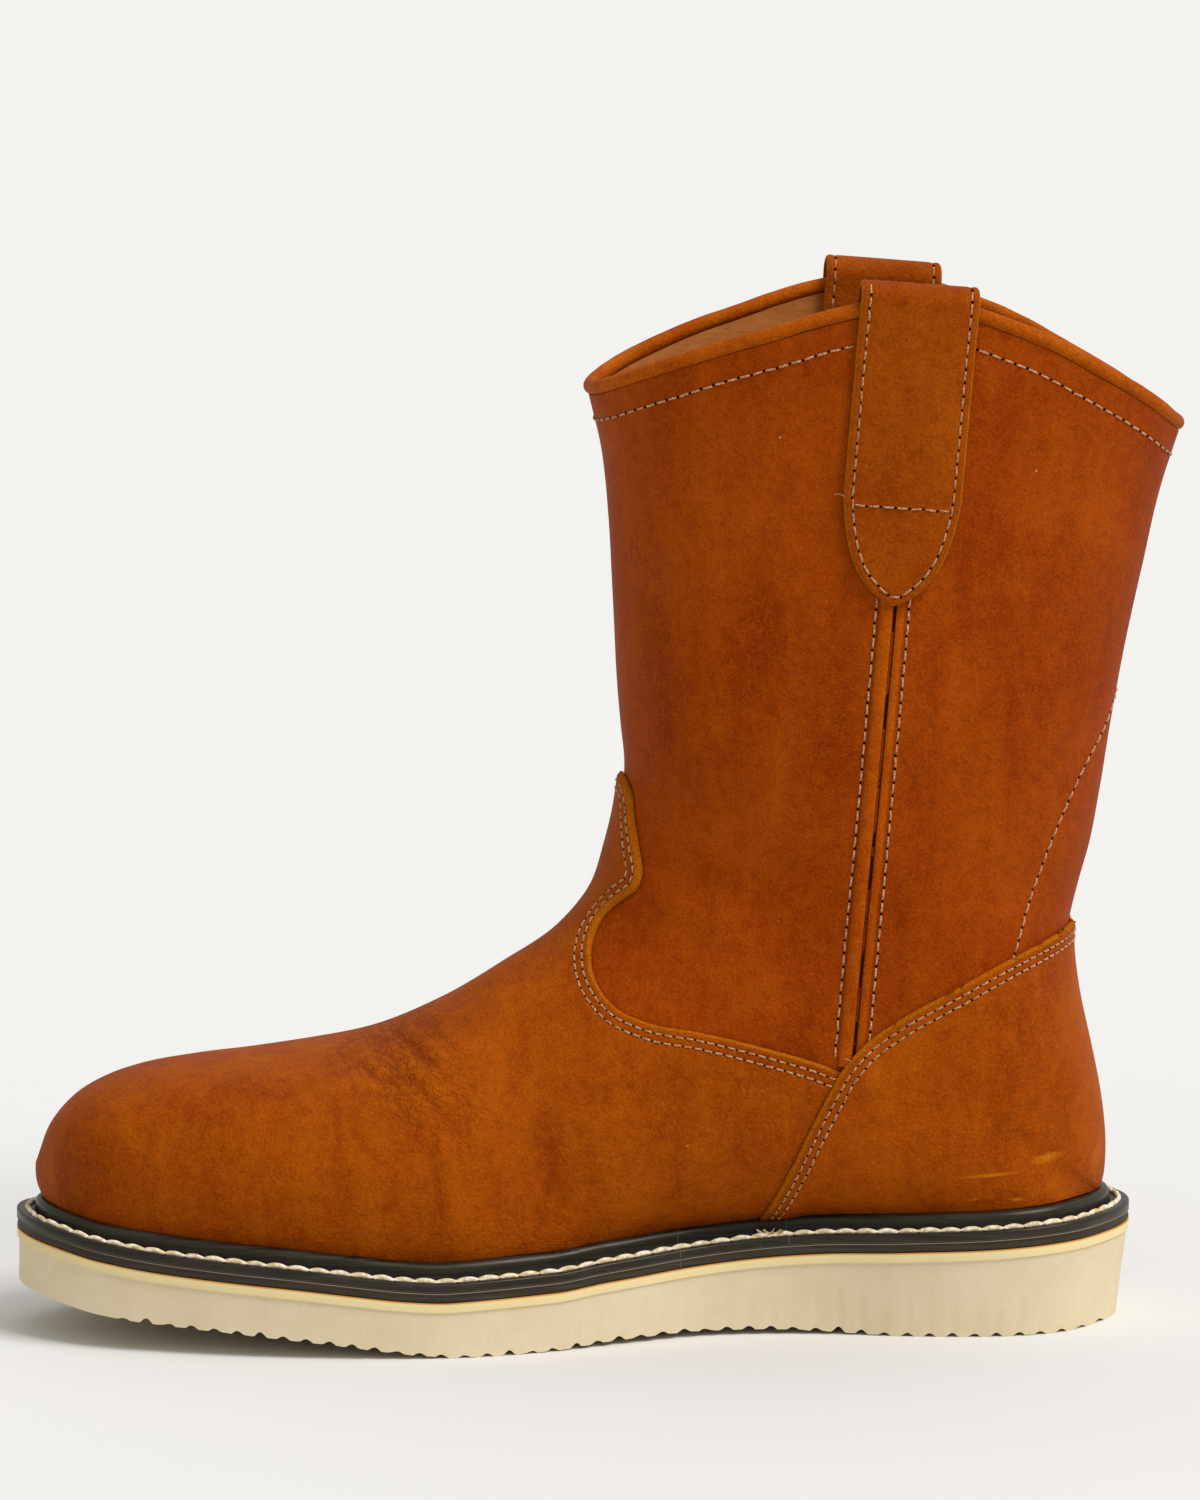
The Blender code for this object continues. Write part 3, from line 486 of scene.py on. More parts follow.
# Creases and soft swells. Columns: side, or 0 over the ridge; x and z of both ends, in side view;
# bow to the front at mid length; depth, below zero for a ridge; half width
CREASES = (
    (0, -0.0740, 0.0790, -0.0680, 0.0735, 0.0004, 0.00025, 0.0014),
    (0, -0.0690, 0.0780, -0.0600, 0.0715, 0.0008, 0.00036, 0.0014),
    (0, -0.0560, 0.0740, -0.0440, 0.0615, -0.0014, 0.00036, 0.0015),
    (0, -0.0590, 0.0830, -0.0440, 0.0740, -0.0010, 0.00034, 0.0015),
    (0, -0.0520, 0.0870, -0.0400, 0.0790, -0.0010, 0.00018, 0.0016),
    (0, -0.0712, 0.0620, -0.0600, 0.0515, 0.0008, 0.00022, 0.0024),
    (INNER, -0.0454, 0.0640, -0.0412, 0.0320, 0.0006, -0.00026, 0.0020),
    (INNER, -0.0490, 0.0600, -0.0455, 0.0360, 0.0008, 0.00018, 0.0024),
    (INNER, -0.0370, 0.0620, -0.0330, 0.0350, -0.0010, 0.00016, 0.0026),
    (INNER, -0.0180, 0.0700, -0.0120, 0.0360, 0.0010, 0.00025, 0.0030),
    (OUTER, -0.0450, 0.0600, -0.0410, 0.0310, -0.0010, -0.00040, 0.0020),
    (OUTER, -0.0490, 0.0580, -0.0460, 0.0320, -0.0010, 0.00035, 0.0024),
    (OUTER, -0.0250, 0.0620, -0.0200, 0.0340, 0.0010, 0.00025, 0.0026),
    (0, 0.0120, 0.1350, 0.0500, 0.1180, 0.0030, 0.00060, 0.0060),
    (0, 0.0100, 0.1220, 0.0420, 0.1040, 0.0030, 0.00045, 0.0050),
    (0, 0.1300, 0.1200, 0.0950, 0.1260, 0.0020, 0.00050, 0.0060),
    (INNER, 0.1230, 0.0900, 0.0900, 0.0800, 0.0020, 0.00035, 0.0050),
    (OUTER, 0.1210, 0.0860, 0.0880, 0.0780, 0.0020, 0.00035, 0.0050),
    (INNER, 0.0300, 0.2350, 0.0260, 0.1500, 0.0040, -0.00060, 0.0120),
    (OUTER, 0.0300, 0.2350, 0.0260, 0.1500, 0.0040, -0.00060, 0.0120),
    (INNER, 0.1000, 0.2300, 0.0960, 0.1400, -0.0030, 0.00050, 0.0110),
    (OUTER, 0.1000, 0.2300, 0.0960, 0.1400, -0.0030, 0.00050, 0.0110),
)
SOFT_WAVE = 0.00035
SOFT_SIZE = 0.030
RIDGE_CALM = 0.009


def creases(points):
    """How far the listed creases lift each point, below zero in a trough."""
    x, y, z = points.T
    height = np.zeros(len(points))
    for side, x1, z1, x2, z2, bow, depth, width in CREASES:
        along = np.hypot(x2 - x1, z2 - z1)
        ux, uz = (x2 - x1) / along, (z2 - z1) / along
        share = ((x - x1) * ux + (z - z1) * uz) / along
        off = (x - x1) * -uz + (z - z1) * ux + bow * 4 * share * (1 - share)
        fade = np.clip(share, 0, 1) * np.clip(1 - share, 0, 1) * 4
        fade = fade * np.clip(0.5 + side * y / 0.012 if side else abs(y) / RIDGE_CALM - 1, 0, 1)
        trough = np.exp(-((off / width) ** 2))
        banks = np.exp(-(((abs(off) - 1.7 * width) / width) ** 2))
        height += depth * np.sqrt(np.maximum(fade, 0)) * (0.45 * banks - trough)
    return height


def soft_waves(points):
    return SOFT_WAVE * np.array([noise.noise(Vector(point) / SOFT_SIZE) for point in points])


def welded(points, faces):
    """Points closer than a micron made one, the faces that this leaves without flat folds, and what was kept."""
    keys = np.round(points * 1e6).astype(np.int64)
    _, first, index = np.unique(keys, axis=0, return_index=True, return_inverse=True)
    index = index.reshape(-1)
    kept, seen = [], {}
    for face in index[faces]:
        corners = [int(c) for k, c in enumerate(face) if c != face[k - 1]]
        if len(set(corners)) > 2 and len(set(corners)) == len(corners):
            kept.append(corners)
            seen[frozenset(corners)] = seen.get(frozenset(corners), 0) + 1
    return points[first], [face for face in kept if seen[frozenset(face)] == 1], first


def grid_faces(rows, columns, closed=False):
    """Faces of a grid of points, its columns joined round when closed."""
    at = np.arange(rows * columns).reshape(rows, columns)
    if closed:
        at = np.concatenate([at, at[:, :1]], axis=1)
    return np.stack([at[:-1, :-1], at[:-1, 1:], at[1:, 1:], at[1:, :-1]], axis=-1).reshape(-1, 4)


def normals_of(points, faces):
    mesh = bpy.data.meshes.new("normals")
    mesh.from_pydata(points.tolist(), [], faces)
    values = np.empty(len(points) * 3)
    mesh.vertex_normals.foreach_get("vector", values)
    bpy.data.meshes.remove(mesh)
    return values.reshape(-1, 3)


# Where the sections gather on the heel: stations between which their rows are evened, how far, and over the bead
GATHERED = (14.5, 16.5, 20.0, 22.0)
EVEN_REACH = 0.0065
EVEN_FROM, EVEN_FULL = 0.000, 0.004


def unfolded(rows, places, gap):
    """Rows of sections evened where they gather on the heel, so that none crosses the next."""
    above = (rows[:, :, 2] - bead_top(rows[:, :, 0]) - EVEN_FROM) / (EVEN_FULL - EVEN_FROM)
    share = np.clip(above, 0, 1) * np.interp(places, GATHERED, (0, 1, 1, 0))[:, None]
    for _ in range(round((EVEN_REACH / gap) ** 2)):
        middle = (rows[:-2] + 2 * rows[1:-1] + rows[2:]) / 4
        rows[1:-1] += share[1:-1, :, None] * (middle - rows[1:-1])
    return rows


def make_skin(first, last, gap, low_steps, high_steps):
    """Outer face of the upper between two stations, creased: its points, normals and faces."""
    places = even_places(first, last, gap)
    rows = np.array([section(place, low_steps, high_steps) for place in places])
    rows = unfolded(rows, places, gap)
    points, faces, _ = welded(rows.reshape(-1, 3), grid_faces(*rows.shape[:2]))
    normals = normals_of(points, faces)
    if normals[np.argmax(points[:, 1]), 1] < 0:
        faces = [face[::-1] for face in faces]
        normals = -normals
    calm = np.clip((points[:, 2] - bead_top(points[:, 0])) / 0.012, 0, 1)
    folds = creases(points) * calm
    points = points + normals * (folds + soft_waves(points) * calm)[:, None]
    return {"points": points, "normals": normals_of(points, faces), "faces": faces, "crease": folds}


def tree_of(points, faces):
    return BVHTree.FromPolygons([Vector(point) for point in points], faces)


def curve_through(points, step):
    """Evenly spaced points on a smooth curve through a few points."""
    points = np.array(points, float)
    lengths = np.concatenate([[0], np.cumsum(np.linalg.norm(np.diff(points, axis=0), axis=1))])
    rows = np.column_stack([lengths, points])
    fine = follow(rows, np.linspace(0, lengths[-1], 40 * len(points)))
    lengths = np.concatenate([[0], np.cumsum(np.linalg.norm(np.diff(fine, axis=0), axis=1))])
    places = np.linspace(0, lengths[-1], max(int(lengths[-1] / step), 2) + 1)
    return np.column_stack([np.interp(places, lengths, column) for column in fine.T])


def side_line(table, step=0.001):
    return curve_through([(x_at(share), height * FRONT_HEIGHT) for share, height in table], step)


def on_skin(tree, line, side):
    """Points of a side view line on one side of the skin."""
    found = []
    for x, z in line:
        hit = tree.ray_cast(Vector((x, side * REACH, z)), Vector((0, -side, 0)))[0]
        if hit is not None and hit.y * side > -0.004:
            found.append(tuple(hit))
    return found


def evened(line, step):
    """Evenly spaced points along a line of straight runs."""
    line = np.array(line, float)
    lengths = np.concatenate([[0], np.cumsum(np.linalg.norm(np.diff(line, axis=0), axis=1))])
    places = np.linspace(0, lengths[-1], max(int(lengths[-1] / step), 2) + 1)
    return np.column_stack([np.interp(places, lengths, column) for column in line.T])


def laid(tree, line, step=0.0008):
    """A line with even spaces, each of its points on the skin."""
    return np.array([tuple(tree.find_nearest(Vector(point))[0]) for point in evened(line, step)])


def beside(tree, top, line, gap):
    """A line moved sideways by a gap over the skin and lifted to the top of what covers it: points, normals."""
    line = evened(line, 0.001)
    along = np.gradient(line, axis=0)
    along /= np.linalg.norm(along, axis=1)[:, None]
    over = 0.008
    points, normals = [], []
    for point, way in zip(line, along):
        normal = tree.find_nearest(Vector(point))[1]
        moved = Vector(point) + normal.cross(Vector(way)).normalized() * gap
        near, normal, _, _ = tree.find_nearest(moved)
        hit = top.ray_cast(near + normal * over, -normal, 2 * over)[0]
        if hit is not None and np.linalg.norm(line - near, axis=1).min() > 0.92 * abs(gap):
            points.append(tuple(hit))
            normals.append(tuple(normal))
    return np.array(points), np.array(normals)


def inside(outline_points, x, z):
    """Whether places in side view lie inside an outline."""
    found = np.zeros(len(x), bool)
    before = outline_points[-1]
    for point in outline_points:
        (x1, z1), (x2, z2) = before, point
        if z1 != z2:
            found ^= ((z1 > z) != (z2 > z)) & (x < (x2 - x1) * (z - z1) / (z2 - z1) + x1)
        before = point
    return found


def edge_distance(points, line, region):
    """Distance of each point from a line on the skin, below zero outside a side view region."""
    tree = KDTree(len(line))
    for k, point in enumerate(line):
        tree.insert(point, k)
    tree.balance()
    far = 0.012
    found = np.full(len(points), far)
    for k, point in enumerate(points):
        _, at, gap = tree.find(point)
        if gap > far:
            continue
        best = gap
        for a, b in ((at - 1, at), (at, at + 1)):
            if a < 0 or b >= len(line):
                continue
            start, way = line[a], line[b] - line[a]
            share = min(max(np.dot(point - start, way) / np.dot(way, way), 0), 1)
            best = min(best, np.linalg.norm(point - start - share * way))
        found[k] = best
    return np.where(inside(region, points[:, 0], points[:, 2]), found, -found)


def split_at(work, layer, level):
    """Cuts edges and faces along the line where a value that the points carry passes a level."""
    snap = 0.00012
    for point in work.verts:
        if abs(point[layer] - level) < snap:
            point[layer] = level
    level = np.float32(level)
    crossing = [
        edge for edge in work.edges if (edge.verts[0][layer] - level) * (edge.verts[1][layer] - level) < 0
    ]
    for edge in crossing:
        first, second = edge.verts
        share = (level - first[layer]) / (second[layer] - first[layer])
        _, point = bmesh.utils.edge_split(edge, first, share)
        point[layer] = level
    for face in list(work.faces):
        on = [point for point in face.verts if point[layer] == level]
        if len(on) == 2 and not any(edge in on[1].link_edges for edge in on[0].link_edges):
            bmesh.utils.face_split(face, on[0], on[1])


def clipped(skin, gaps, levels):
    """Skin cut off just over the bead, then cut at levels of the distance from its edge and dropped outside."""
    work = bmesh.new()
    edge = work.verts.layers.float.new("edge")
    foot = work.verts.layers.float.new("foot")
    crease = work.verts.layers.float.new("crease")
    out = work.verts.layers.float_vector.new("out")
    heights = skin["points"][:, 2] - bead_top(skin["points"][:, 0]) - CLEARANCE
    verts = []
    for point, normal, fold, gap, height in zip(skin["points"], skin["normals"], skin["crease"], gaps, heights):
        vert = work.verts.new(point)
        vert[crease] = fold
        vert[edge] = gap
        vert[foot] = height
        vert[out] = normal
        verts.append(vert)
    for face in skin["faces"]:
        work.faces.new([verts[k] for k in face])
    for layer, cuts in ((foot, (0.0,)), (edge, levels)):
        for level in cuts:
            split_at(work, layer, level)
        drop = [face for face in work.faces if sum(point[layer] for point in face.verts) < 0]
        bmesh.ops.delete(work, geom=drop, context="FACES")
    work.verts.index_update()
    made = {
        "points": np.array([point.co for point in work.verts]),
        "normals": np.array([point[out].normalized() for point in work.verts]),
        "faces": [[point.index for point in face.verts] for face in work.faces],
        "edge": np.array([point[edge] for point in work.verts]),
        "crease": np.array([point[crease] for point in work.verts]),
    }
    work.free()
    return made


def put_attribute(mesh, name, values):
    mesh.attributes.new(name, "FLOAT", "POINT").data.foreach_set("value", np.asarray(values, np.float32))


def new_piece(name, points, faces, finish, attributes=None, sharp=40):
    """Object with its mesh at the origin, shaded smooth but for sharp folds."""
    mesh = bpy.data.meshes.new(name)
    mesh.from_pydata(np.asarray(points).tolist(), [], [list(map(int, face)) for face in faces])
    for key, values in (attributes or {}).items():
        put_attribute(mesh, key, values)
    mesh.materials.append(finish)
    mesh.shade_smooth()
    mesh.set_sharp_from_angle(angle=radians(sharp))
    thing = bpy.data.objects.new(name, mesh)
    bpy.context.scene.collection.objects.link(thing)
    return thing


def thick_sheet(name, skin, low, high, finish, attributes=None):
    """Closed sheet between two heights over a skin, with its rim closed."""
    points, normals, faces = skin["points"], skin["normals"], skin["faces"]
    count = len(points)
    low = np.broadcast_to(low, count)[:, None]
    high = np.broadcast_to(high, count)[:, None]
    directed = {(face[k - 1], face[k]) for face in faces for k in range(len(face))}
    rims = [(b, a, a + count, b + count) for a, b in directed if (b, a) not in directed]
    under = [[k + count for k in reversed(face)] for face in faces]
    both = {key: np.concatenate([values, values]) for key, values in (attributes or {}).items()}
    both_points = np.concatenate([points + normals * high, points + normals * low])
    return new_piece(name, both_points, faces + under + sorted(rims), finish, both)


def settle(thing, slot, *nodes):
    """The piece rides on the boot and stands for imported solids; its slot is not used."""
    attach(thing, "root")
    if nodes:
        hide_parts(*nodes)
    return thing


# Shading


def new_material(name):
    made = bpy.data.materials.new(name)
    made.use_nodes = True
    return made, made.node_tree, made.node_tree.nodes["Principled BSDF"]


def add(tree, kind, inputs=None, **settings):
    """New shader node with its settings, and its inputs set to numbers or joined to sockets."""
    made = tree.nodes.new("ShaderNode" + kind)
    for key, value in settings.items():
        setattr(made, key, value)
    for key, value in (inputs or {}).items():
        if isinstance(value, bpy.types.NodeSocket):
            tree.links.new(value, made.inputs[key])
        else:
            made.inputs[key].default_value = value
    return made


def maths(tree, operation, first, second=0.0, clamp=False):
    return add(tree, "Math", {0: first, 1: second}, operation=operation, use_clamp=clamp).outputs[0]


def object_place(tree, scale=(1, 1, 1)):
    place = add(tree, "TexCoord").outputs["Object"]
    return add(tree, "Mapping", {"Vector": place, "Scale": scale}).outputs[0]


def cloud(tree, place, scale, detail=2.0, roughness=0.5, distortion=0.0):
    inputs = {"Vector": place, "Scale": scale, "Detail": detail, "Roughness": roughness, "Distortion": distortion}
    return add(tree, "TexNoise", inputs).outputs["Fac"]


def between(tree, value, low, high, to_low=0.0, to_high=1.0):
    """A value brought from one range to another, held at its ends."""
    inputs = {"Value": value, "From Min": low, "From Max": high, "To Min": to_low, "To Max": to_high}
    return add(tree, "MapRange", inputs).outputs[0]


def blended(tree, share, first, second, kind="MIX"):
    """Mix of two colours, each a socket or red, green and blue."""
    made = add(tree, "Mix", {0: share}, data_type="RGBA", blend_type=kind)
    for socket, value in ((made.inputs[6], first), (made.inputs[7], second)):
        if isinstance(value, bpy.types.NodeSocket):
            tree.links.new(value, socket)
        else:
            socket.default_value = (*value, 1)
    return made.outputs[2]


def bumped(tree, height, distance, strength=1.0, below=None):
    inputs = {"Height": height, "Distance": distance, "Strength": strength}
    if below is not None:
        inputs["Normal"] = below
    return add(tree, "Bump", inputs).outputs[0]


def named_value(tree, name):
    return add(tree, "Attribute", attribute_name=name).outputs["Fac"]


def patch(tree, middle, half, tilt=0.0, soft=1.0):
    """Soft oval patch on the boot, 1 in its middle and 0 at its rim, tilted in side view by radians."""
    place = add(tree, "TexCoord").outputs["Object"]
    inputs = {"Vector": place, "Location": middle, "Rotation": (0, tilt, 0), "Scale": half}
    local = add(tree, "Mapping", inputs, vector_type="TEXTURE").outputs[0]
    far = add(tree, "VectorMath", {0: local}, operation="LENGTH").outputs["Value"]
    return between(tree, far, 1 - soft, 1.0, 1, 0)


LEATHER_DARK = (0.120, 0.0125, 0.0005)
LEATHER_MID = (0.245, 0.0365, 0.0010)
LEATHER_LIGHT = (0.420, 0.092, 0.0030)
RAW_EDGE = (0.640, 0.165, 0.0050)
RUBBED = (0.600, 0.180, 0.0080)
GROOVE_FUZZ_AND_SHADE = (0.030, 0.006, 0.0008)
SPECK = (0.62, 0.36, 0.18)
WARM_GLOSS = (1.0, 0.55, 0.20, 1.0)

# Break over the ball of the foot: middle, half sizes, and how the wrinkles run in side view
BREAK_MIDDLE = (-0.055, 0.0, 0.077)
BREAK_HALF = (0.036, 0.200, 0.022)
BREAK_TILT = radians(42)

# Scuffs on the counter: middle, half sizes, tilt in degrees, strength
COUNTER_SCUFFS = (
    ((0.1232, -0.0268, 0.0486), (0.0058, 0.014, 0.0018), -9, 0.95),
    ((0.1062, -0.0331, 0.0449), (0.0105, 0.014, 0.0007), -3, 0.80),
    ((0.1141, -0.0306, 0.0376), (0.0026, 0.014, 0.0007), 3, 0.80),
    ((0.1025, -0.0317, 0.0380), (0.0012, 0.014, 0.0006), 0, 0.70),
    ((0.1385, -0.0100, 0.0470), (0.0030, 0.012, 0.0080), 10, 0.50),
    ((0.0930, 0.0360, 0.0480), (0.0090, 0.014, 0.0008), 6, 0.70),
)


def leather(name, tone, raw=0.0, broken=False, grooved=False, scuffs=()):
    """Oiled pull-up leather: mottled tan, fine grain, soft gloss, golden along its raw edges."""
    made, tree, shader = new_material(name)
    place = object_place(tree)
    upright = object_place(tree, (1.0, 1.0, 0.25))
    patches = cloud(tree, place, 24, 3, 0.55, 0.4)
    streaks = cloud(tree, upright, 75, 4, 0.6, 0.5)
    mottle = cloud(tree, place, 290, 4, 0.65)
    speckle = cloud(tree, place, 1500, 3, 0.6)
    dark, mid, light = (
        tuple(np.multiply(tone, base).tolist()) for base in (LEATHER_DARK, LEATHER_MID, LEATHER_LIGHT)
    )
    colour = blended(tree, between(tree, patches, 0.34, 0.68, 0, 0.42), mid, light)
    colour = blended(tree, between(tree, streaks, 0.50, 0.80, 0, 0.45), colour, light)
    colour = blended(tree, between(tree, streaks, 0.46, 0.22, 0, 0.55), colour, dark)
    colour = blended(tree, between(tree, mottle, 0.52, 0.74, 0, 0.32), colour, light)
    colour = blended(tree, between(tree, mottle, 0.48, 0.28, 0, 0.38), colour, dark)
    colour = blended(tree, between(tree, speckle, 0.52, 0.70, 0, 0.42), colour, light)
    colour = blended(tree, between(tree, speckle, 0.48, 0.30, 0, 0.42), colour, dark)
    dots = add(tree, "TexVoronoi", {"Vector": place, "Scale": 85, "Randomness": 1.0}).outputs
    chosen = add(tree, "SeparateColor", {0: dots["Color"]}).outputs[0]
    dot = maths(tree, "MULTIPLY", between(tree, dots["Distance"], 0.020, 0.030, 1, 0), between(tree, chosen, 0.80, 0.82))
    colour = blended(tree, maths(tree, "MULTIPLY", dot, 0.8), colour, SPECK)
    for middle, half, tilt, strength in scuffs:
        worn = maths(tree, "MULTIPLY", patch(tree, middle, half, radians(tilt), 0.8), between(tree, speckle, 0.3, 0.6, 0.5, 1))
        colour = blended(tree, maths(tree, "MULTIPLY", worn, strength), colour, RUBBED)
    grain = add(tree, "TexVoronoi", {"Vector": place, "Scale": 950, "Randomness": 1.0}).outputs["Distance"]
    pores = cloud(tree, place, 2600, 2, 0.6)
    folds = cloud(tree, object_place(tree, (1.0, 1.0, 2.2)), 130, 4, 0.6, 1.2)
    below = bumped(tree, folds, 0.00050, 0.40)
    if broken:
        inputs = {"Vector": add(tree, "TexCoord").outputs["Object"], "Rotation": (0, BREAK_TILT, 0), "Scale": (3.0, 1.6, 1)}
        slanted = add(tree, "Mapping", inputs, vector_type="TEXTURE").outputs[0]
        wrinkle = cloud(tree, slanted, 520, 3, 0.55, 0.5)
        line = between(tree, maths(tree, "ABSOLUTE", maths(tree, "SUBTRACT", wrinkle, 0.5)), 0.0, 0.06, 1, 0)
        near = patch(tree, BREAK_MIDDLE, BREAK_HALF, BREAK_TILT)
        dent = maths(tree, "MULTIPLY", line, near)
        below = bumped(tree, maths(tree, "SUBTRACT", 1.0, dent), 0.0005, 0.75, below)
        # The wrinkle lines are darkened in colour too: the leather's own darkening with painted shade.
        colour = blended(tree, maths(tree, "MULTIPLY", dent, 0.38), colour, dark)
        # Crease troughs darkened, the pull-up leather's own darkening with painted shade, and their banks lightened as
        # a painted highlight.
        fold = named_value(tree, "crease")
        colour = blended(tree, between(tree, fold, -0.00008, -0.00036, 0, 0.50), colour, dark)
        colour = blended(tree, between(tree, fold, 0.00004, 0.00016, 0, 0.25), colour, light)
    rough = between(tree, mottle, 0.3, 0.7, 0.56, 0.68)
    if raw:
        gap = maths(tree, "ADD", named_value(tree, "edge"), between(tree, speckle, 0.30, 0.70, -0.0003, 0.0003))
        bare = between(tree, gap, raw, raw + 0.0003, 1, 0)
        fibre = blended(tree, between(tree, pores, 0.35, 0.65), tuple(0.60 * c for c in RAW_EDGE), RAW_EDGE)
        colour = blended(tree, bare, colour, fibre)
        rough = maths(tree, "ADD", rough, maths(tree, "MULTIPLY", bare, 0.35), clamp=True)
        below = bumped(tree, maths(tree, "MULTIPLY", bare, pores), 0.0007, 0.8, below)
    if grooved:
        # The groove behind the side lap darkened: its dark fuzz and painted shade in the recess.
        deep = between(tree, named_value(tree, "groove"), 0.20, 0.60)
        colour = blended(tree, deep, colour, GROOVE_FUZZ_AND_SHADE)
    tree.links.new(colour, shader.inputs["Base Color"])
    tree.links.new(rough, shader.inputs["Roughness"])
    shader.inputs["Specular IOR Level"].default_value = 0.08
    shader.inputs["Specular Tint"].default_value = WARM_GLOSS
    below = bumped(tree, grain, 0.00026, 0.60, below)
    below = bumped(tree, pores, 0.00020, 1.00, below)
    tree.links.new(below, shader.inputs["Normal"])
    return made


def lining_leather():
    """Unfinished lining: paler, matt, with fine level wrinkles."""
    made, tree, shader = new_material("tan lining leather")
    place = object_place(tree)
    wrinkle = cloud(tree, object_place(tree, (0.45, 0.45, 2.4)), 190, 4, 0.6, 0.6)
    mottle = cloud(tree, place, 420, 4, 0.65)
    colour = blended(tree, between(tree, wrinkle, 0.30, 0.70), (0.345, 0.105, 0.016), (0.430, 0.150, 0.030))
    colour = blended(tree, between(tree, mottle, 0.50, 0.78, 0, 0.35), colour, (0.520, 0.210, 0.055))
    tree.links.new(colour, shader.inputs["Base Color"])
    shader.inputs["Roughness"].default_value = 0.75
    shader.inputs["Specular IOR Level"].default_value = 0.2
    below = bumped(tree, wrinkle, 0.0006, 0.5)
    below = bumped(tree, mottle, 0.0003, 0.4, below)
    tree.links.new(below, shader.inputs["Normal"])
    return made


def insole_leather():
    made, tree, shader = new_material("natural insole leather")
    place = object_place(tree)
    mottle = cloud(tree, place, 90, 5, 0.6)
    fibre = cloud(tree, place, 900, 3, 0.7)
    colour = blended(tree, between(tree, mottle, 0.3, 0.7), (0.42, 0.25, 0.12), (0.56, 0.37, 0.20))
    colour = blended(tree, between(tree, fibre, 0.5, 0.8, 0, 0.5), colour, (0.66, 0.48, 0.30))
    tree.links.new(colour, shader.inputs["Base Color"])
    shader.inputs["Roughness"].default_value = 0.8
    tree.links.new(bumped(tree, fibre, 0.0003, 0.6), shader.inputs["Normal"])
    return made


DUST_AND_HIGHLIGHT = (0.30, 0.25, 0.17)


def black_rubber(name, base, rubbed, rough, joints=()):
    """Dark rubber with dust, lines rubbed along its length, a pale rim where named (dust and a painted highlight), and
    butt joints.
    """
    made, tree, shader = new_material(name)
    place = object_place(tree)
    lines = cloud(tree, object_place(tree, (0.10, 0.10, 3.0)), 420, 4, 0.7, 0.3)
    dust = cloud(tree, place, 1000, 3, 0.7)
    colour = blended(tree, between(tree, lines, 0.42, 0.78, 0, 0.8), base, rubbed)
    colour = blended(tree, between(tree, dust, 0.68, 0.80, 0, 0.45), colour, DUST_AND_HIGHLIGHT)
    # Pale rim where the welt meets the midsole: dust and a painted highlight along the edge.
    colour = blended(tree, between(tree, named_value(tree, "rim"), 0.55, 0.95, 0, 0.65), colour, DUST_AND_HIGHLIGHT)
    axes = add(tree, "SeparateXYZ", {0: add(tree, "TexCoord").outputs["Object"]}).outputs
    cut = None
    for x in joints:
        off = maths(tree, "ABSOLUTE", maths(tree, "SUBTRACT", axes[0], x))
        line = maths(tree, "MULTIPLY", between(tree, off, 0.00012, 0.00026, 1, 0), between(tree, axes[1], -0.001, 0.0, 1, 0))
        cut = line if cut is None else maths(tree, "MAXIMUM", cut, line)
    below = bumped(tree, lines, 0.0002, 0.35)
    if cut is not None:
        colour = blended(tree, maths(tree, "MULTIPLY", cut, 0.22), colour, DUST_AND_HIGHLIGHT)
        below = bumped(tree, maths(tree, "SUBTRACT", 1.0, cut), 0.0004, 0.8, below)
    tree.links.new(colour, shader.inputs["Base Color"])
    tree.links.new(between(tree, lines, 0.3, 0.8, rough, rough + 0.2), shader.inputs["Roughness"])
    shader.inputs["Specular IOR Level"].default_value = 0.32
    shader.inputs["Specular Tint"].default_value = (1.0, 0.88, 0.72, 1.0)
    tree.links.new(bumped(tree, dust, 0.0001, 0.25, below), shader.inputs["Normal"])
    return made


FOAM_LOW, FOAM_HIGH = (0.670, 0.555, 0.355), (0.730, 0.620, 0.420)
FOAM_STRIP = (0.770, 0.620, 0.285)
FOAM_GLUE = (0.560, 0.230, 0.020)


def wedge_foam():
    """Cream foamed rubber, yellower on the strip at the top and brown where it was glued."""
    made, tree, shader = new_material("cream foam")
    place = object_place(tree)
    cells = cloud(tree, place, 1300, 3, 0.6)
    clouds = cloud(tree, place, 60, 4, 0.6)
    brushed = cloud(tree, object_place(tree, (3.0, 3.0, 0.4)), 300, 3, 0.6)
    scuffs = cloud(tree, object_place(tree, (0.6, 0.6, 1.4)), 70, 5, 0.6, 0.6)
    depth = maths(tree, "ADD", named_value(tree, "below_top"), between(tree, scuffs, 0.3, 0.7, -0.0006, 0.0006))
    colour = blended(tree, between(tree, clouds, 0.3, 0.7), FOAM_LOW, FOAM_HIGH)
    colour = blended(tree, between(tree, brushed, 0.45, 0.75, 0, 0.12), colour, (0.77, 0.68, 0.50))
    colour = blended(tree, between(tree, scuffs, 0.60, 0.80, 0, 0.35), colour, (0.77, 0.70, 0.54))
    colour = blended(tree, between(tree, scuffs, 0.38, 0.22, 0, 0.25), colour, (0.56, 0.44, 0.25))
    colour = blended(tree, between(tree, depth, 0.0034, 0.0020, 0, 0.75), colour, FOAM_STRIP)
    colour = blended(tree, between(tree, named_value(tree, "below_top"), 0.0005, 0.0002, 0, 0.9), colour, FOAM_GLUE)
    tree.links.new(colour, shader.inputs["Base Color"])
    shader.inputs["Roughness"].default_value = 0.8
    shader.inputs["Specular IOR Level"].default_value = 0.25
    below = bumped(tree, scuffs, 0.0003, 0.25)
    tree.links.new(bumped(tree, cells, 0.0002, 0.45, below), shader.inputs["Normal"])
    return made


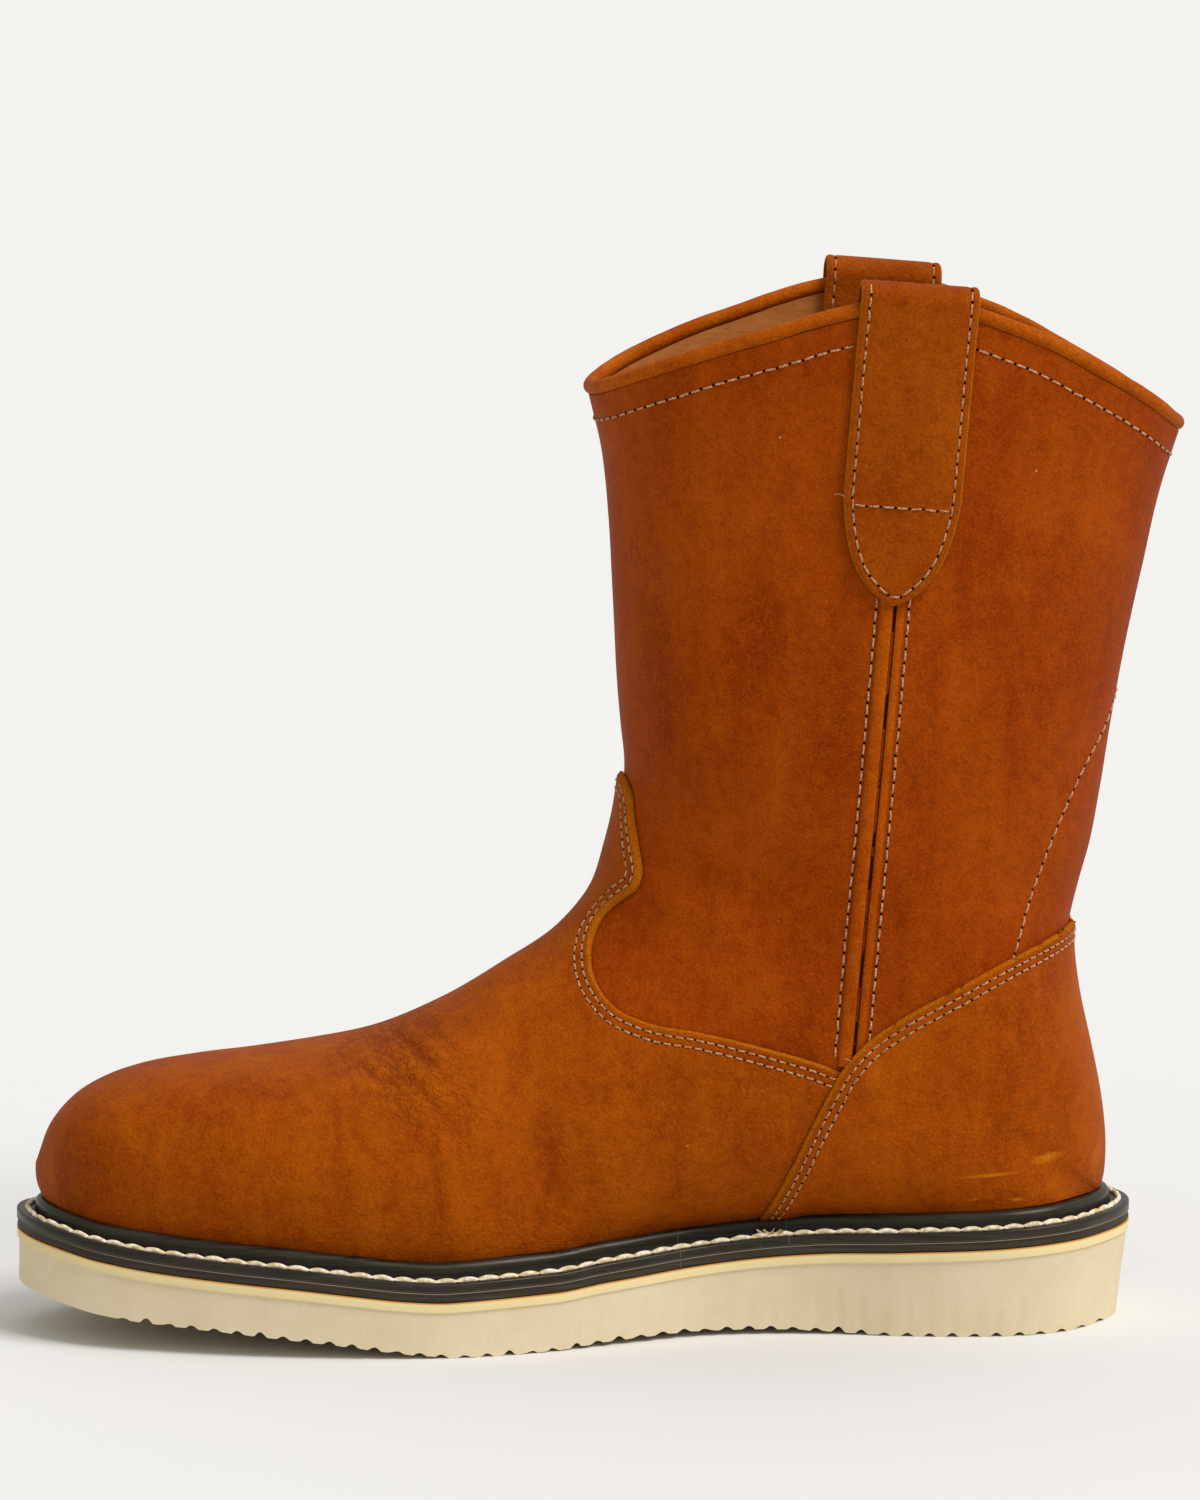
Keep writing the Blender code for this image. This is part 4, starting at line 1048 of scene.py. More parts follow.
def thread(name, light, dark, ply_scale=1600, rough=0.75):
    """Plied thread: two tones in the twist and a fuzzy surface."""
    made, tree, shader = new_material(name)
    place = object_place(tree)
    ply = cloud(tree, place, ply_scale, 3, 0.6)
    soil = cloud(tree, place, 120, 3, 0.6)
    colour = blended(tree, between(tree, ply, 0.40, 0.62), dark, light)
    colour = blended(tree, between(tree, soil, 0.55, 0.75, 0, 0.4), colour, dark)
    tree.links.new(colour, shader.inputs["Base Color"])
    shader.inputs["Roughness"].default_value = rough
    shader.inputs["Specular IOR Level"].default_value = 0.2
    tree.links.new(bumped(tree, ply, 0.00015, 0.5), shader.inputs["Normal"])
    return made


def plain(name, colour, rough):
    """Flat dark colour, painted shade for small hollows such as needle holes."""
    made, tree, shader = new_material(name)
    grit = cloud(tree, object_place(tree), 1200, 2)
    paler = tuple(min(1.6 * c, 1) for c in colour)
    tree.links.new(blended(tree, grit, colour, paler), shader.inputs["Base Color"])
    shader.inputs["Roughness"].default_value = rough
    shader.inputs["Specular IOR Level"].default_value = 0.0
    return made


# Stitches by geometry nodes


def node(tree, kind, inputs=None, **settings):
    """New geometry node with its settings, and its inputs set to values or joined to sockets."""
    made = tree.nodes.new(kind)
    for key, value in settings.items():
        setattr(made, key, value)
    for key, value in (inputs or {}).items():
        if isinstance(value, bpy.types.NodeSocket):
            tree.links.new(value, made.inputs[key])
        else:
            made.inputs[key].default_value = value
    return made


# A needle hole is a thin dark plug of painted shade, this deep and half of it proud
PLUG_DEPTH = 0.00016


def stitch_tree():
    """One stitch of twisted thread and a dark plug of painted shade for its needle hole at each point, turned along the
    row and out of the leather.
    """
    tree = bpy.data.node_groups.new("stitches", "GeometryNodeTree")
    face = tree.interface
    face.new_socket("Points", in_out="INPUT", socket_type="NodeSocketGeometry")
    for name in ("Length", "Thickness", "Height", "Dip", "Twist", "Lobes", "Hole", "Hole Place", "Jitter"):
        face.new_socket(name, in_out="INPUT", socket_type="NodeSocketFloat")
    face.new_socket("Thread", in_out="INPUT", socket_type="NodeSocketMaterial")
    face.new_socket("Dark", in_out="INPUT", socket_type="NodeSocketMaterial")
    face.new_socket("Stitches", in_out="OUTPUT", socket_type="NodeSocketGeometry")
    given = node(tree, "NodeGroupInput").outputs
    half = node(tree, "ShaderNodeMath", {0: given["Length"], 1: 0.5}, operation="MULTIPLY").outputs[0]
    back = node(tree, "ShaderNodeMath", {0: half, 1: -1.0}, operation="MULTIPLY").outputs[0]
    top = node(tree, "ShaderNodeMath", {0: given["Height"], 1: 2.0}, operation="MULTIPLY").outputs[0]
    low = node(tree, "ShaderNodeMath", {0: given["Dip"], 1: -1.0}, operation="MULTIPLY").outputs[0]
    start = node(tree, "ShaderNodeCombineXYZ", {"X": back, "Z": low}).outputs[0]
    middle = node(tree, "ShaderNodeCombineXYZ", {"Z": top}).outputs[0]
    end = node(tree, "ShaderNodeCombineXYZ", {"X": half, "Z": low}).outputs[0]
    arc = node(
        tree, "GeometryNodeCurveQuadraticBezier", {"Resolution": 8, "Start": start, "Middle": middle, "End": end}
    ).outputs[0]
    share = node(tree, "GeometryNodeSplineParameter").outputs["Factor"]
    turned = node(tree, "ShaderNodeMath", {0: share, 1: given["Twist"]}, operation="MULTIPLY").outputs[0]
    twisted = node(tree, "GeometryNodeSetCurveTilt", {"Curve": arc, "Tilt": turned}).outputs[0]
    around = node(tree, "ShaderNodeMath", {0: share, 1: pi}, operation="MULTIPLY").outputs[0]
    swell = node(tree, "ShaderNodeMath", {0: around}, operation="SINE").outputs[0]
    swell = node(tree, "ShaderNodeMath", {0: swell, 1: 0.62, 2: 0.38}, operation="MULTIPLY_ADD").outputs[0]
    twisted = node(tree, "GeometryNodeSetCurveRadius", {"Curve": twisted, "Radius": swell}).outputs[0]
    radius = node(tree, "ShaderNodeMath", {0: given["Thickness"], 1: 0.5}, operation="MULTIPLY").outputs[0]
    dent = node(tree, "ShaderNodeMath", {0: radius, 1: given["Lobes"]}, operation="MULTIPLY").outputs[0]
    lobes = node(
        tree, "GeometryNodeCurveStar", {"Points": 3, "Inner Radius": dent, "Outer Radius": radius}
    ).outputs[0]
    tube = node(tree, "GeometryNodeCurveToMesh", {0: twisted, 1: lobes, "Fill Caps": True}).outputs[0]
    tube = node(tree, "GeometryNodeSetMaterial", {"Geometry": tube, "Material": given["Thread"]}).outputs[0]
    plug_sizes = {"Vertices": 7, "Radius": given["Hole"], "Depth": PLUG_DEPTH}
    plug = node(tree, "GeometryNodeMeshCylinder", plug_sizes, fill_type="NGON").outputs[0]
    aside = node(tree, "ShaderNodeCombineXYZ", {"X": given["Hole Place"]}).outputs[0]
    plug = node(tree, "GeometryNodeTransform", {"Geometry": plug, "Translation": aside}).outputs[0]
    plug = node(tree, "GeometryNodeSetMaterial", {"Geometry": plug, "Material": given["Dark"]}).outputs[0]
    joined = node(tree, "GeometryNodeJoinGeometry")
    tree.links.new(plug, joined.inputs[0])
    tree.links.new(tube, joined.inputs[0])
    along = node(tree, "GeometryNodeInputNamedAttribute", {"Name": "along"}, data_type="FLOAT_VECTOR").outputs[0]
    out = node(tree, "GeometryNodeInputNamedAttribute", {"Name": "out"}, data_type="FLOAT_VECTOR").outputs[0]
    turn = node(tree, "FunctionNodeAxesToRotation", {0: along, 1: out}, primary_axis="X", secondary_axis="Z").outputs[0]
    sway = node(tree, "ShaderNodeMath", {0: given["Jitter"], 1: -1.0}, operation="MULTIPLY").outputs[0]
    spin = node(tree, "FunctionNodeRandomValue", {2: sway, 3: given["Jitter"], "Seed": 4}).outputs[1]
    spin = node(tree, "ShaderNodeCombineXYZ", {"Z": spin}).outputs[0]
    spin = node(tree, "FunctionNodeEulerToRotation", {0: spin}).outputs[0]
    turn = node(tree, "FunctionNodeRotateRotation", {0: turn, 1: spin}, rotation_space="LOCAL").outputs[0]
    size = node(tree, "FunctionNodeRandomValue", {2: 0.93, 3: 1.06, "Seed": 9}).outputs[1]
    placed = node(
        tree,
        "GeometryNodeInstanceOnPoints",
        {"Points": given["Points"], "Instance": joined.outputs[0], "Rotation": turn, "Scale": size},
    ).outputs[0]
    whole = node(tree, "GeometryNodeRealizeInstances", {"Geometry": placed}).outputs[0]
    whole = node(tree, "GeometryNodeSetShadeSmooth", {"Geometry": whole}).outputs[0]
    result = node(tree, "NodeGroupOutput")
    tree.links.new(whole, result.inputs[0])
    return tree


def set_input(modifier, name, value):
    for item in modifier.node_group.interface.items_tree:
        if item.item_type == "SOCKET" and item.in_out == "INPUT" and item.name == name:
            modifier[item.identifier] = value


def baked(thing):
    """The piece with its geometry nodes turned into a plain mesh."""
    graph = bpy.context.evaluated_depsgraph_get()
    mesh = bpy.data.meshes.new_from_object(thing.evaluated_get(graph))
    thing.modifiers.clear()
    thing.data = mesh
    mesh.name = thing.name
    return thing


def stitch_rows(name, tree, rows, pitch, finish, dark, sizes, slot):
    """One piece with a stitch at every pitch along each row of points and normals."""
    points, ways, outs = [], [], []
    for line, normals in rows:
        lengths = np.concatenate([[0], np.cumsum(np.linalg.norm(np.diff(line, axis=0), axis=1))])
        count = max(int(lengths[-1] / pitch), 1)
        places = (np.arange(count) + 0.5) * lengths[-1] / count
        at = np.column_stack([np.interp(places, lengths, column) for column in line.T])
        ahead = np.column_stack([np.interp(places + pitch / 3, lengths, column) for column in line.T])
        behind = np.column_stack([np.interp(places - pitch / 3, lengths, column) for column in line.T])
        points += at.tolist()
        ways += (ahead - behind).tolist()
        outs += np.column_stack([np.interp(places, lengths, column) for column in normals.T]).tolist()
    mesh = bpy.data.meshes.new(name)
    mesh.from_pydata(points, [], [])
    for key, values in (("along", ways), ("out", outs)):
        mesh.attributes.new(key, "FLOAT_VECTOR", "POINT").data.foreach_set("vector", np.ravel(values))
    thing = bpy.data.objects.new(name, mesh)
    bpy.context.scene.collection.objects.link(thing)
    step = thing.modifiers.new("stitches", "NODES")
    step.node_group = tree
    for key, value in sizes.items():
        set_input(step, key, value)
    set_input(step, "Thread", finish)
    set_input(step, "Dark", dark)
    return settle(baked(thing), slot)


FINE_STITCH = {
    "Length": 0.0022,
    "Thickness": 0.00072,
    "Height": 0.00032,
    "Dip": 0.0002,
    "Twist": 6.0,
    "Lobes": 0.72,
    "Hole": 0.00036,
    "Hole Place": 0.00145,
    "Jitter": 0.10,
}
LONG_STITCH = FINE_STITCH | {"Length": 0.0026, "Hole": 0.00042, "Hole Place": 0.00182}
WELT_STITCH = {
    "Length": 0.0056,
    "Thickness": 0.0017,
    "Height": 0.0005,
    "Dip": 0.0003,
    "Twist": 0.9,
    "Lobes": 0.90,
    "Hole": 0.0009,
    "Hole Place": 0.0029,
    "Jitter": 0.04,
}


# Leather pieces

EDGE_LEVELS = (0.0, 0.0005, 0.0013, 0.0018, 0.0023, 0.0028, 0.0040, 0.0045, 0.0050)
STITCH_GAPS = (0.0023, 0.0045)
FURROW = 0.00022
FURROW_WIDTH = 0.00045
EDGE_FLOOR = 0.45
CHAMFER = 0.0012
FINE_PITCH = 0.0029


def overlay_height(gap):
    """Height of an overlay over its seat near its raw edge: cut slope, then two stitch furrows."""
    height = OVERLAY * (EDGE_FLOOR + (1 - EDGE_FLOOR) * np.clip(gap / CHAMFER, 0, 1) ** 0.7)
    for row in STITCH_GAPS:
        height = height - FURROW * np.exp(-(((gap - row) / FURROW_WIDTH) ** 2))
    return height


def tucked(skin, reach=0.004):
    """Part of its height that a sheet keeps as it turns in behind the bead."""
    above = skin["points"][:, 2] - bead_top(skin["points"][:, 0])
    return np.clip(above / reach, 0, 1) ** 0.5


def make_shaft(finish, lining_finish):
    skin = make_skin(0, SECTIONS[-1][0], 0.0021, 36, 34)
    shaft = thick_sheet("shaft_leather", skin, -0.6 * WALL, 0.0, finish)
    settle(shaft, "upper_leather", "upper")
    coarse = make_skin(0, SECTIONS[-1][0], 0.0034, 26, 24)
    lining = thick_sheet("shaft_lining", coarse, -WALL, -0.68 * WALL, lining_finish)
    settle(lining, "upper_leather")
    return skin


def tree_of_piece(thing):
    points = np.empty(len(thing.data.vertices) * 3)
    thing.data.vertices.foreach_get("co", points)
    return tree_of(points.reshape(-1, 3), [list(face.vertices) for face in thing.data.polygons])


# The vamp runs on under the counter, thinned there, and the counter lies over it
LAP = 0.007
LAP_RISE = 0.0011
LAP_THINNED = 0.45

# The vamp's raw edge shows wider up its neck: how much, from which height and over what rise
NECK_WIDER = 1.6
NECK_FROM = 0.104
NECK_RUN = 0.018


def counter_region():
    """Side view outline of the counter, running on below and behind it."""
    top, front = side_line(COUNTER_EDGE), side_line(COUNTER_FRONT)
    behind = HEEL_X + 2 * COLLAR_OVERHANG
    drop = front[-1] + (front[-1] - front[-2]) * 20
    return top.tolist() + [(behind, top[-1][1]), (behind, drop[1]), tuple(drop)] + front[::-1].tolist()


def behind_front(tree, points):
    """Distance behind the counter's front edge, below zero ahead of it."""
    front, region = side_line(COUNTER_FRONT), counter_region()
    gaps = [edge_distance(points, laid(tree, on_skin(tree, front, side)), region) for side in (INNER, OUTER)]
    return np.where(abs(gaps[0]) < abs(gaps[1]), gaps[0], gaps[1])


def make_vamp(tree, finish):
    skin = make_skin(0, 18.6, 0.0017, 44, 42)
    edge = side_line(VAMP_EDGE, 0.0005)
    tail = side_line(COUNTER_FRONT) + [LAP, 0.0]
    drop = tail[-1] + (tail[-1] - tail[-2]) * 20
    high = edge[0][1] + 0.001
    region = [(x_at(1.1), high), (edge[0][0], high)] + edge.tolist() + tail.tolist()
    region += [tuple(drop), (x_at(1.1), drop[1])]
    shown = laid(tree, on_skin(tree, edge, INNER)[::-1] + on_skin(tree, edge, OUTER))
    inner, outer = on_skin(tree, tail, INNER), on_skin(tree, tail, OUTER)
    line = laid(tree, inner[::-1] + shown.tolist() + outer)
    skin = clipped(skin, edge_distance(skin["points"], line, region), EDGE_LEVELS)
    under = np.clip((behind_front(tree, skin["points"]) + 0.0010) / 0.0011, 0, 1)
    height = overlay_height(skin["edge"]) * (1 - (1 - LAP_THINNED) * under)
    lift = CLEARANCE + height * (0.55 + 0.45 * tucked(skin))
    raw = np.where(under > 0.5, skin["edge"].max(), skin["edge"])
    raw = raw / (1 + NECK_WIDER * np.clip((skin["points"][:, 2] - NECK_FROM) / NECK_RUN, 0, 1))
    vamp = thick_sheet("vamp_leather", skin, CLEARANCE, lift, finish, {"edge": raw, "crease": skin["crease"]})
    settle(vamp, "overlay_leather", "vamp")
    return shown, tree_of_piece(vamp)


def make_counter(tree, finish):
    skin = make_skin(9.5, 23, 0.0017, 44, 42)
    top, front = side_line(COUNTER_EDGE), side_line(COUNTER_FRONT)
    inner, outer = on_skin(tree, front[1:], INNER), on_skin(tree, front[1:], OUTER)
    line = inner[::-1] + on_skin(tree, top, INNER) + on_skin(tree, top, OUTER)[::-1] + outer
    line = laid(tree, line)
    skin = clipped(skin, edge_distance(skin["points"], line, counter_region()), EDGE_LEVELS)
    back = np.maximum(behind_front(tree, skin["points"]), 0)
    keep = 0.55 + 0.45 * tucked(skin)
    bottom = CLEARANCE + LAP_RISE * np.clip(1 - (back - LAP) / 0.005, 0, 1) * keep
    height = overlay_height(skin["edge"]) * keep
    counter = thick_sheet("counter_leather", skin, bottom, bottom + height, finish, {"edge": skin["edge"]})
    settle(counter, "overlay_leather", "counter")
    return line, tree_of_piece(counter)


def seam_foot():
    """Height of the side seam's lower end, where it meets the counter's top edge."""
    return COUNTER_EDGE[1][1] * FRONT_HEIGHT


def seam_x(z):
    """Side seam in side view, leaning back as it climbs."""
    return x_at(SEAM_PLACE) + SEAM_LEAN * (z - seam_foot())


def strap_top():
    """Highest point of the collar's binding."""
    middle = max(COLLAR, key=lambda row: row[1])[0]
    line = BACK_HEIGHT + middle * (FRONT_HEIGHT - BACK_HEIGHT)
    return line + COLLAR_RISE + CLEARANCE + BINDING


def strap_tip():
    return strap_top() - STRAP_DROP


# Side lap from its front to its back edge: place across from the seam's middle, height over the shaft, in the groove
SEAM_PROFILE = (
    (-0.0023, 0.00000, 0),
    (-0.0021, 0.00070, 0),
    (-0.0015, 0.00125, 0),
    (-0.0004, 0.00150, 0),
    (0.0007, 0.00145, 0),
    (0.0013, 0.00115, 0),
    (0.0016, 0.00070, 0.4),
    (0.0018, 0.00010, 1),
    (0.0023, 0.00010, 1),
    (0.0025, 0.00050, 0.4),
    (0.0030, 0.00072, 0),
    (0.0038, 0.00070, 0),
    (0.0045, 0.00045, 0),
    (0.0050, 0.00000, 0),
)
SEAM_ROWS = (-0.0031, 0.0060)
SEAM_PITCH = 0.0037


def seam_line(tree, side, across):
    """Points down the side seam at a place across it, from the counter up under the strap."""
    heights = np.arange(seam_foot() - 0.003, strap_tip() + 0.004, 0.001)
    return laid(tree, on_skin(tree, [(seam_x(z) + across, z) for z in heights], side))


def make_seam(name, node_name, tree, side, finish):
    """Soft rounded lap down the side seam, a groove behind it and the flatter edge below."""
    heights = np.arange(seam_foot() - 0.004, strap_tip() + 0.006, 0.0015)
    sunk = 0.0004
    rows = []
    for z in heights:
        row, seat = [], []
        wave = 1 + 0.10 * noise.noise(Vector((0, side, z / 0.009)))
        for across, up, _ in SEAM_PROFILE:
            x = seam_x(z) + across
            hit, normal, _, _ = tree.ray_cast(Vector((x, side * REACH, z)), Vector((0, -side, 0)))
            row.append(hit + normal * (up * wave - 0.0001))
            seat.append(hit - normal * sunk)
        rows.append(row + [seat[-1], seat[0]])
    depths = [groove for _, _, groove in SEAM_PROFILE] + [0, 0]
    attributes = {"groove": np.tile(depths, len(rows))}
    return settle(strip_piece(name, rows, side == OUTER, finish, attributes, 60), "overlay_leather", node_name)


def strip_piece(name, rows, turned, finish, attributes, sharp):
    """Closed piece through rings of points, its two ends capped."""
    rows = np.array(rows)
    count = rows.shape[1]
    last = rows.shape[0] * count
    faces = grid_faces(*rows.shape[:2], closed=True).tolist()
    faces += [list(range(count)), list(range(last - count, last))[::-1]]
    if turned:
        faces = [face[::-1] for face in faces]
    return new_piece(name, rows.reshape(-1, 3), faces, finish, attributes, sharp)


def collar_limit(tree, x, side):
    """Height just under the collar's edge at a place along X."""
    z = strap_top() + BINDING
    hit = None
    while hit is None or hit.y * side < 0:
        z -= 0.0005
        hit = tree.ray_cast(Vector((x, side * REACH, z)), Vector((0, -side, 0)))[0]
    return z - 0.001


STRAP_ROW = 0.0024
STRAP_PITCH = 0.0037
STRAP_CROSS = 0.0270
STRAP_ROUND = 0.0009
STRAP_FURROW = 0.00022
STRAP_ROW_RISE = 0.0030


def strap_half(height):
    """Half width of the strap at a height: pointed at its tip, then full."""
    return STRAP_WIDTH / 2 * float(follow(STRAP_POINT, (height - strap_tip()) / STRAP_DROP)[0])


def strap_side_line(way, low, high):
    """One edge of the strap in side view between two heights."""
    line = []
    for height in np.arange(low, high, 0.001):
        reach = way * strap_half(height)
        line.append((seam_x(height) + STRAP_OFFSET + reach, height - reach * SEAM_LEAN))
    return line


def strap_path():
    """Places up the outside of the strap, round its loop and down the inside: height, swing, facing, rising."""
    tip, top = strap_tip(), strap_top()
    leg_top = top - BINDING - STRAP_LOOP
    near = WALL / 2 + STRAP_EASE
    radius = BINDING / 2 + 2 * STRAP_EASE
    centre = top - BINDING / 2
    path = [(tip + STRAP_DROP * share**1.6, near, 1, 0, True) for share in np.linspace(0.02, 0.45, 18)]
    start = path[-1][0]
    path += [(height, near, 1, 0, True) for height in np.linspace(start, leg_top, 46)[1:]]
    for angle in np.linspace(0, pi, 15):
        path.append((centre + radius * sin(angle), radius * cos(angle), cos(angle), sin(angle), False))
    path += [(height, -near, -1, 0, False) for height in np.linspace(leg_top, leg_top - STRAP_INSIDE, 30)]
    return path


def make_strap(name, node_name, tree, side, finish):
    """Pull strap: up the outside from its pointed tip, over the binding in a loop and down the inside."""
    full = STRAP_WIDTH / 2
    near_edge = [1 - gap / full for gap in (0, 0.0002, 0.0005, 0.0009, 0.0017, 0.0021, 0.0024, 0.0027, 0.0033)]
    middle = np.linspace(-near_edge[-1], near_edge[-1], 13)[1:-1].tolist()
    across = [-share for share in near_edge] + middle + near_edge[::-1]
    limits, rows, gaps = {}, [], []
    for height, swing, out_y, out_z, rising in strap_path():
        half = strap_half(height) if rising else full
        out = np.array((0, side * out_y, out_z))
        seat, crown, edges = [], [], []
        for share in across:
            x = seam_x(height) + STRAP_OFFSET + share * half
            z = height - share * half * SEAM_LEAN
            key = round(x, 3)
            if key not in limits:
                limits[key] = collar_limit(tree, x, side)
            hit = tree.ray_cast(Vector((x, side * REACH, min(z, limits[key]))), Vector((0, -side, 0)))[0]
            base = np.array((x, hit.y + side * (swing - WALL / 2), z))
            gap = half * (1 - abs(share))
            if rising:
                gap = min(gap, 0.7 * (height - strap_tip()) + 0.1 * gap)
            thick = STRAP_LEATHER * (0.55 + 0.45 * min(gap / STRAP_ROUND, 1) ** 0.5)
            thick -= STRAP_FURROW * np.exp(-(((gap - STRAP_ROW) / 0.0005) ** 2))
            seat.append(base + 0.0002 * out)
            crown.append(base + thick * out)
            edges.append(gap)
        rows.append(seat + crown[::-1])
        gaps += edges + edges[::-1]
    strap = strip_piece(name, rows, side == INNER, finish, {"edge": np.array(gaps)}, 50)
    settle(strap, "strap_leather", node_name)
    return tree_of_piece(strap)


def seen_from(tree, line, y, way):
    """Places in side view on the first face of a piece met from y going one way: points and normals."""
    points, normals = [], []
    for x, z in line:
        hit, normal, _, _ = tree.ray_cast(Vector((x, y, z)), Vector((0, way, 0)))
        if hit is not None and (hit.y > 0) == (y > 0 or y == 0 < way):
            points.append(tuple(hit))
            normals.append(tuple(normal))
    return np.array(points), np.array(normals)


def strap_rows(strap_tree, side):
    """Stitch rows of a strap: inside its edge from end to end, one across, and two down its inner leg."""
    low, high = strap_tip() + 0.0002, strap_top() + STRAP_ROW_RISE
    edge = evened(strap_side_line(-1, low, high)[::-1] + strap_side_line(1, low, high), 0.0005)
    along = np.gradient(edge, axis=0)
    along /= np.linalg.norm(along, axis=1)[:, None]
    row = edge + STRAP_ROW * np.column_stack([-along[:, 1], along[:, 0]])
    near = np.linalg.norm(row[:, None] - edge[None], axis=2).min(axis=1)
    height = strap_tip() + STRAP_CROSS
    middle, reach = seam_x(height) + STRAP_OFFSET, strap_half(height) - STRAP_ROW
    cross = [(middle + reach * share, height - reach * share * SEAM_LEAN) for share in np.linspace(-1, 1, 25)]
    rows = [seen_from(strap_tree, line, side * REACH, -side) for line in (row[near > 0.97 * STRAP_ROW], cross)]
    heights = np.arange(strap_top() - STRAP_LOOP - STRAP_INSIDE + 0.004, high, 0.0008)
    for end in (-1, 1):
        out = end * (STRAP_WIDTH / 2 - STRAP_ROW)
        leg = [(seam_x(z) + STRAP_OFFSET + out, z - out * SEAM_LEAN) for z in heights]
        rows.append(seen_from(strap_tree, leg, 0, side))
    return rows


# Stitched outline of the stay inside the heel, in side view, from the back line down to the counter
BACK_STAY = (
    (0.1448, 0.1762),
    (0.1406, 0.1675),
    (0.1341, 0.1574),
    (0.1272, 0.1440),
    (0.1210, 0.1289),
    (0.1163, 0.1153),
    (0.1125, 0.1030),
)
COLLAR_ROW = 0.0070


def collar_rows(tree, ring):
    """Stitches under the rolled collar on both sides, stopping at the pull straps."""
    line = np.array([tuple(point) for point, _ in ring])
    points, normals = beside(tree, tree, line, COLLAR_ROW)
    away = abs(points[:, 0] - seam_x(points[:, 2]) - STRAP_OFFSET) > STRAP_WIDTH / 2
    starts = np.flatnonzero(np.diff(away.astype(int))) + 1
    parts = np.split(np.arange(len(points)), starts)
    return [(points[part], normals[part]) for part in parts if away[part[0]] and len(part) > 4]


def make_binding(skin_rows, finish):
    """Rolled binding on the collar's edge, a little uneven like a leather-covered cord."""
    count, sides = len(skin_rows), 14
    rings = []
    for k, (point, normal) in enumerate(skin_rows):
        before, after = skin_rows[k - 1][0], skin_rows[(k + 1) % count][0]
        along = (after - before).normalized()
        out = (normal - along * normal.dot(along)).normalized()
        up = along.cross(out)
        up = up if up.z > 0 else -up
        radius = BINDING / 2 * (1 + 0.05 * noise.noise(point / 0.006))
        centre = point - out * (WALL / 2) + up * (BINDING / 2 + CLEARANCE - 0.0004)
        ring = []
        for j in range(sides):
            angle = 2 * pi * j / sides
            ring.append(centre + radius * (cos(angle) * out + sin(angle) * up))
        rings.append(ring)
    rows = np.array(rings + rings[:1])
    points, faces, _ = welded(rows.reshape(-1, 3), grid_faces(*rows.shape[:2], closed=True))
    return settle(new_piece("collar_roll", points, faces, finish, sharp=80), "binding_leather", "collar_binding")


# Sole


def loop_rows(turns, lines):
    """Rings round the whole sole: each line gives x, y for a side, and a height at x."""
    rings = []
    for side, order in ((INNER, slice(None, -1)), (OUTER, slice(None, 0, -1))):
        columns = []
        for extra, bead, taper, height in lines:
            x, y = outline(side, turns, extra, bead, taper)
            columns.append(np.column_stack([x, y, height(x)]))
        rings.append(np.stack(columns, axis=1)[order])
    return np.concatenate(rings)


def ring_piece(name, lines, steps, finish, rim=(), sharp=50):
    """Closed ring round the sole through lines of its profile; the lines in rim carry the pale rim."""
    rings = loop_rows(np.linspace(0, pi, steps), lines)
    rows = np.concatenate([rings, rings[:1]])
    points, faces, first = welded(rows.reshape(-1, 3), grid_faces(*rows.shape[:2], closed=True))
    pale = np.isin(first % rows.shape[1], rim).astype(float)
    return new_piece(name, points, faces, finish, {"rim": pale}, sharp)


def make_welt(finish):
    """Flange that carries the thick stitches, and a round bead inside it."""
    groove = 0.0008

    def at(rise):
        return lambda x: welt_base(x) + rise

    lines = [
        (0.0000, 0, 0, at(0.0)),
        (-0.0001, 0, 0, at(0.12 * FLANGE)),
        (-0.0001, 0, 0, at(0.80 * FLANGE)),
        (0.0001, 0, 0, at(0.94 * FLANGE)),
        (0.0005, 0, 0, at(FLANGE)),
        (-0.0022, 1, 0, at(FLANGE)),
        (-0.0016, 1, 0, at(FLANGE - 0.5 * groove)),
        (-0.0004, 1, 0, at(FLANGE - groove)),
    ]
    for k in range(11):
        angle = pi * (1.08 - 1.08 * k / 10)
        rise = FLANGE + BEAD_HEIGHT / 2 + BEAD_HEIGHT / 2 * sin(angle)
        lines.append((BEAD_WIDTH / 2 + BEAD_WIDTH / 2 * cos(angle), 1, 0, at(rise)))
    lines.append((BEAD_WIDTH, 1, 0, at(0.0)))
    return settle(ring_piece("rubber_welt", lines, 300, finish, rim=(0,)), "black_rubber", "welt")


WELT_PITCH = 0.0058
WELT_ROW = 0.0029
WELT_JOINTS = (0.0205, 0.0510)


def welt_rows():
    """Row of thick stitches all round on the flange, between its edge and the bead."""
    rows = []
    for side in (INNER, OUTER):
        x, y = outline(side, np.linspace(0, pi, 400), WELT_ROW)
        points = np.column_stack([x, y, welt_base(x) + FLANGE])
        rows.append(points if side == INNER else points[::-1])
    points = np.concatenate(rows)
    return [(points, np.tile([0.0, 0.0, 1.0], (len(points), 1)))]


def make_midsole(finish):
    """Thin dark layer, its edge sanded a little hollow and paler along the top: dust and a painted highlight."""

    def at(rise):
        return lambda x: sole_top(x) + CLEARANCE + rise

    lines = [
        (0.0100, 0, 0, at(0.0)),
        (0.0002, 0, 0, at(0.0)),
        (0.0000, 0, 0, at(0.15 * MIDSOLE)),
        (0.0002, 0, 0, at(0.50 * MIDSOLE)),
        (0.0001, 0, 0, at(0.84 * MIDSOLE)),
        (-0.0001, 0, 0, at(0.93 * MIDSOLE)),
        (0.0001, 0, 0, at(MIDSOLE)),
        (0.0180, 0, 0, at(MIDSOLE)),
    ]
    return settle(ring_piece("midsole_layer", lines, 260, finish, rim=(5, 6)), "black_rubber", "midsole")


# The tread is plain for this length behind the toe
TOE_PLAIN = 0.022


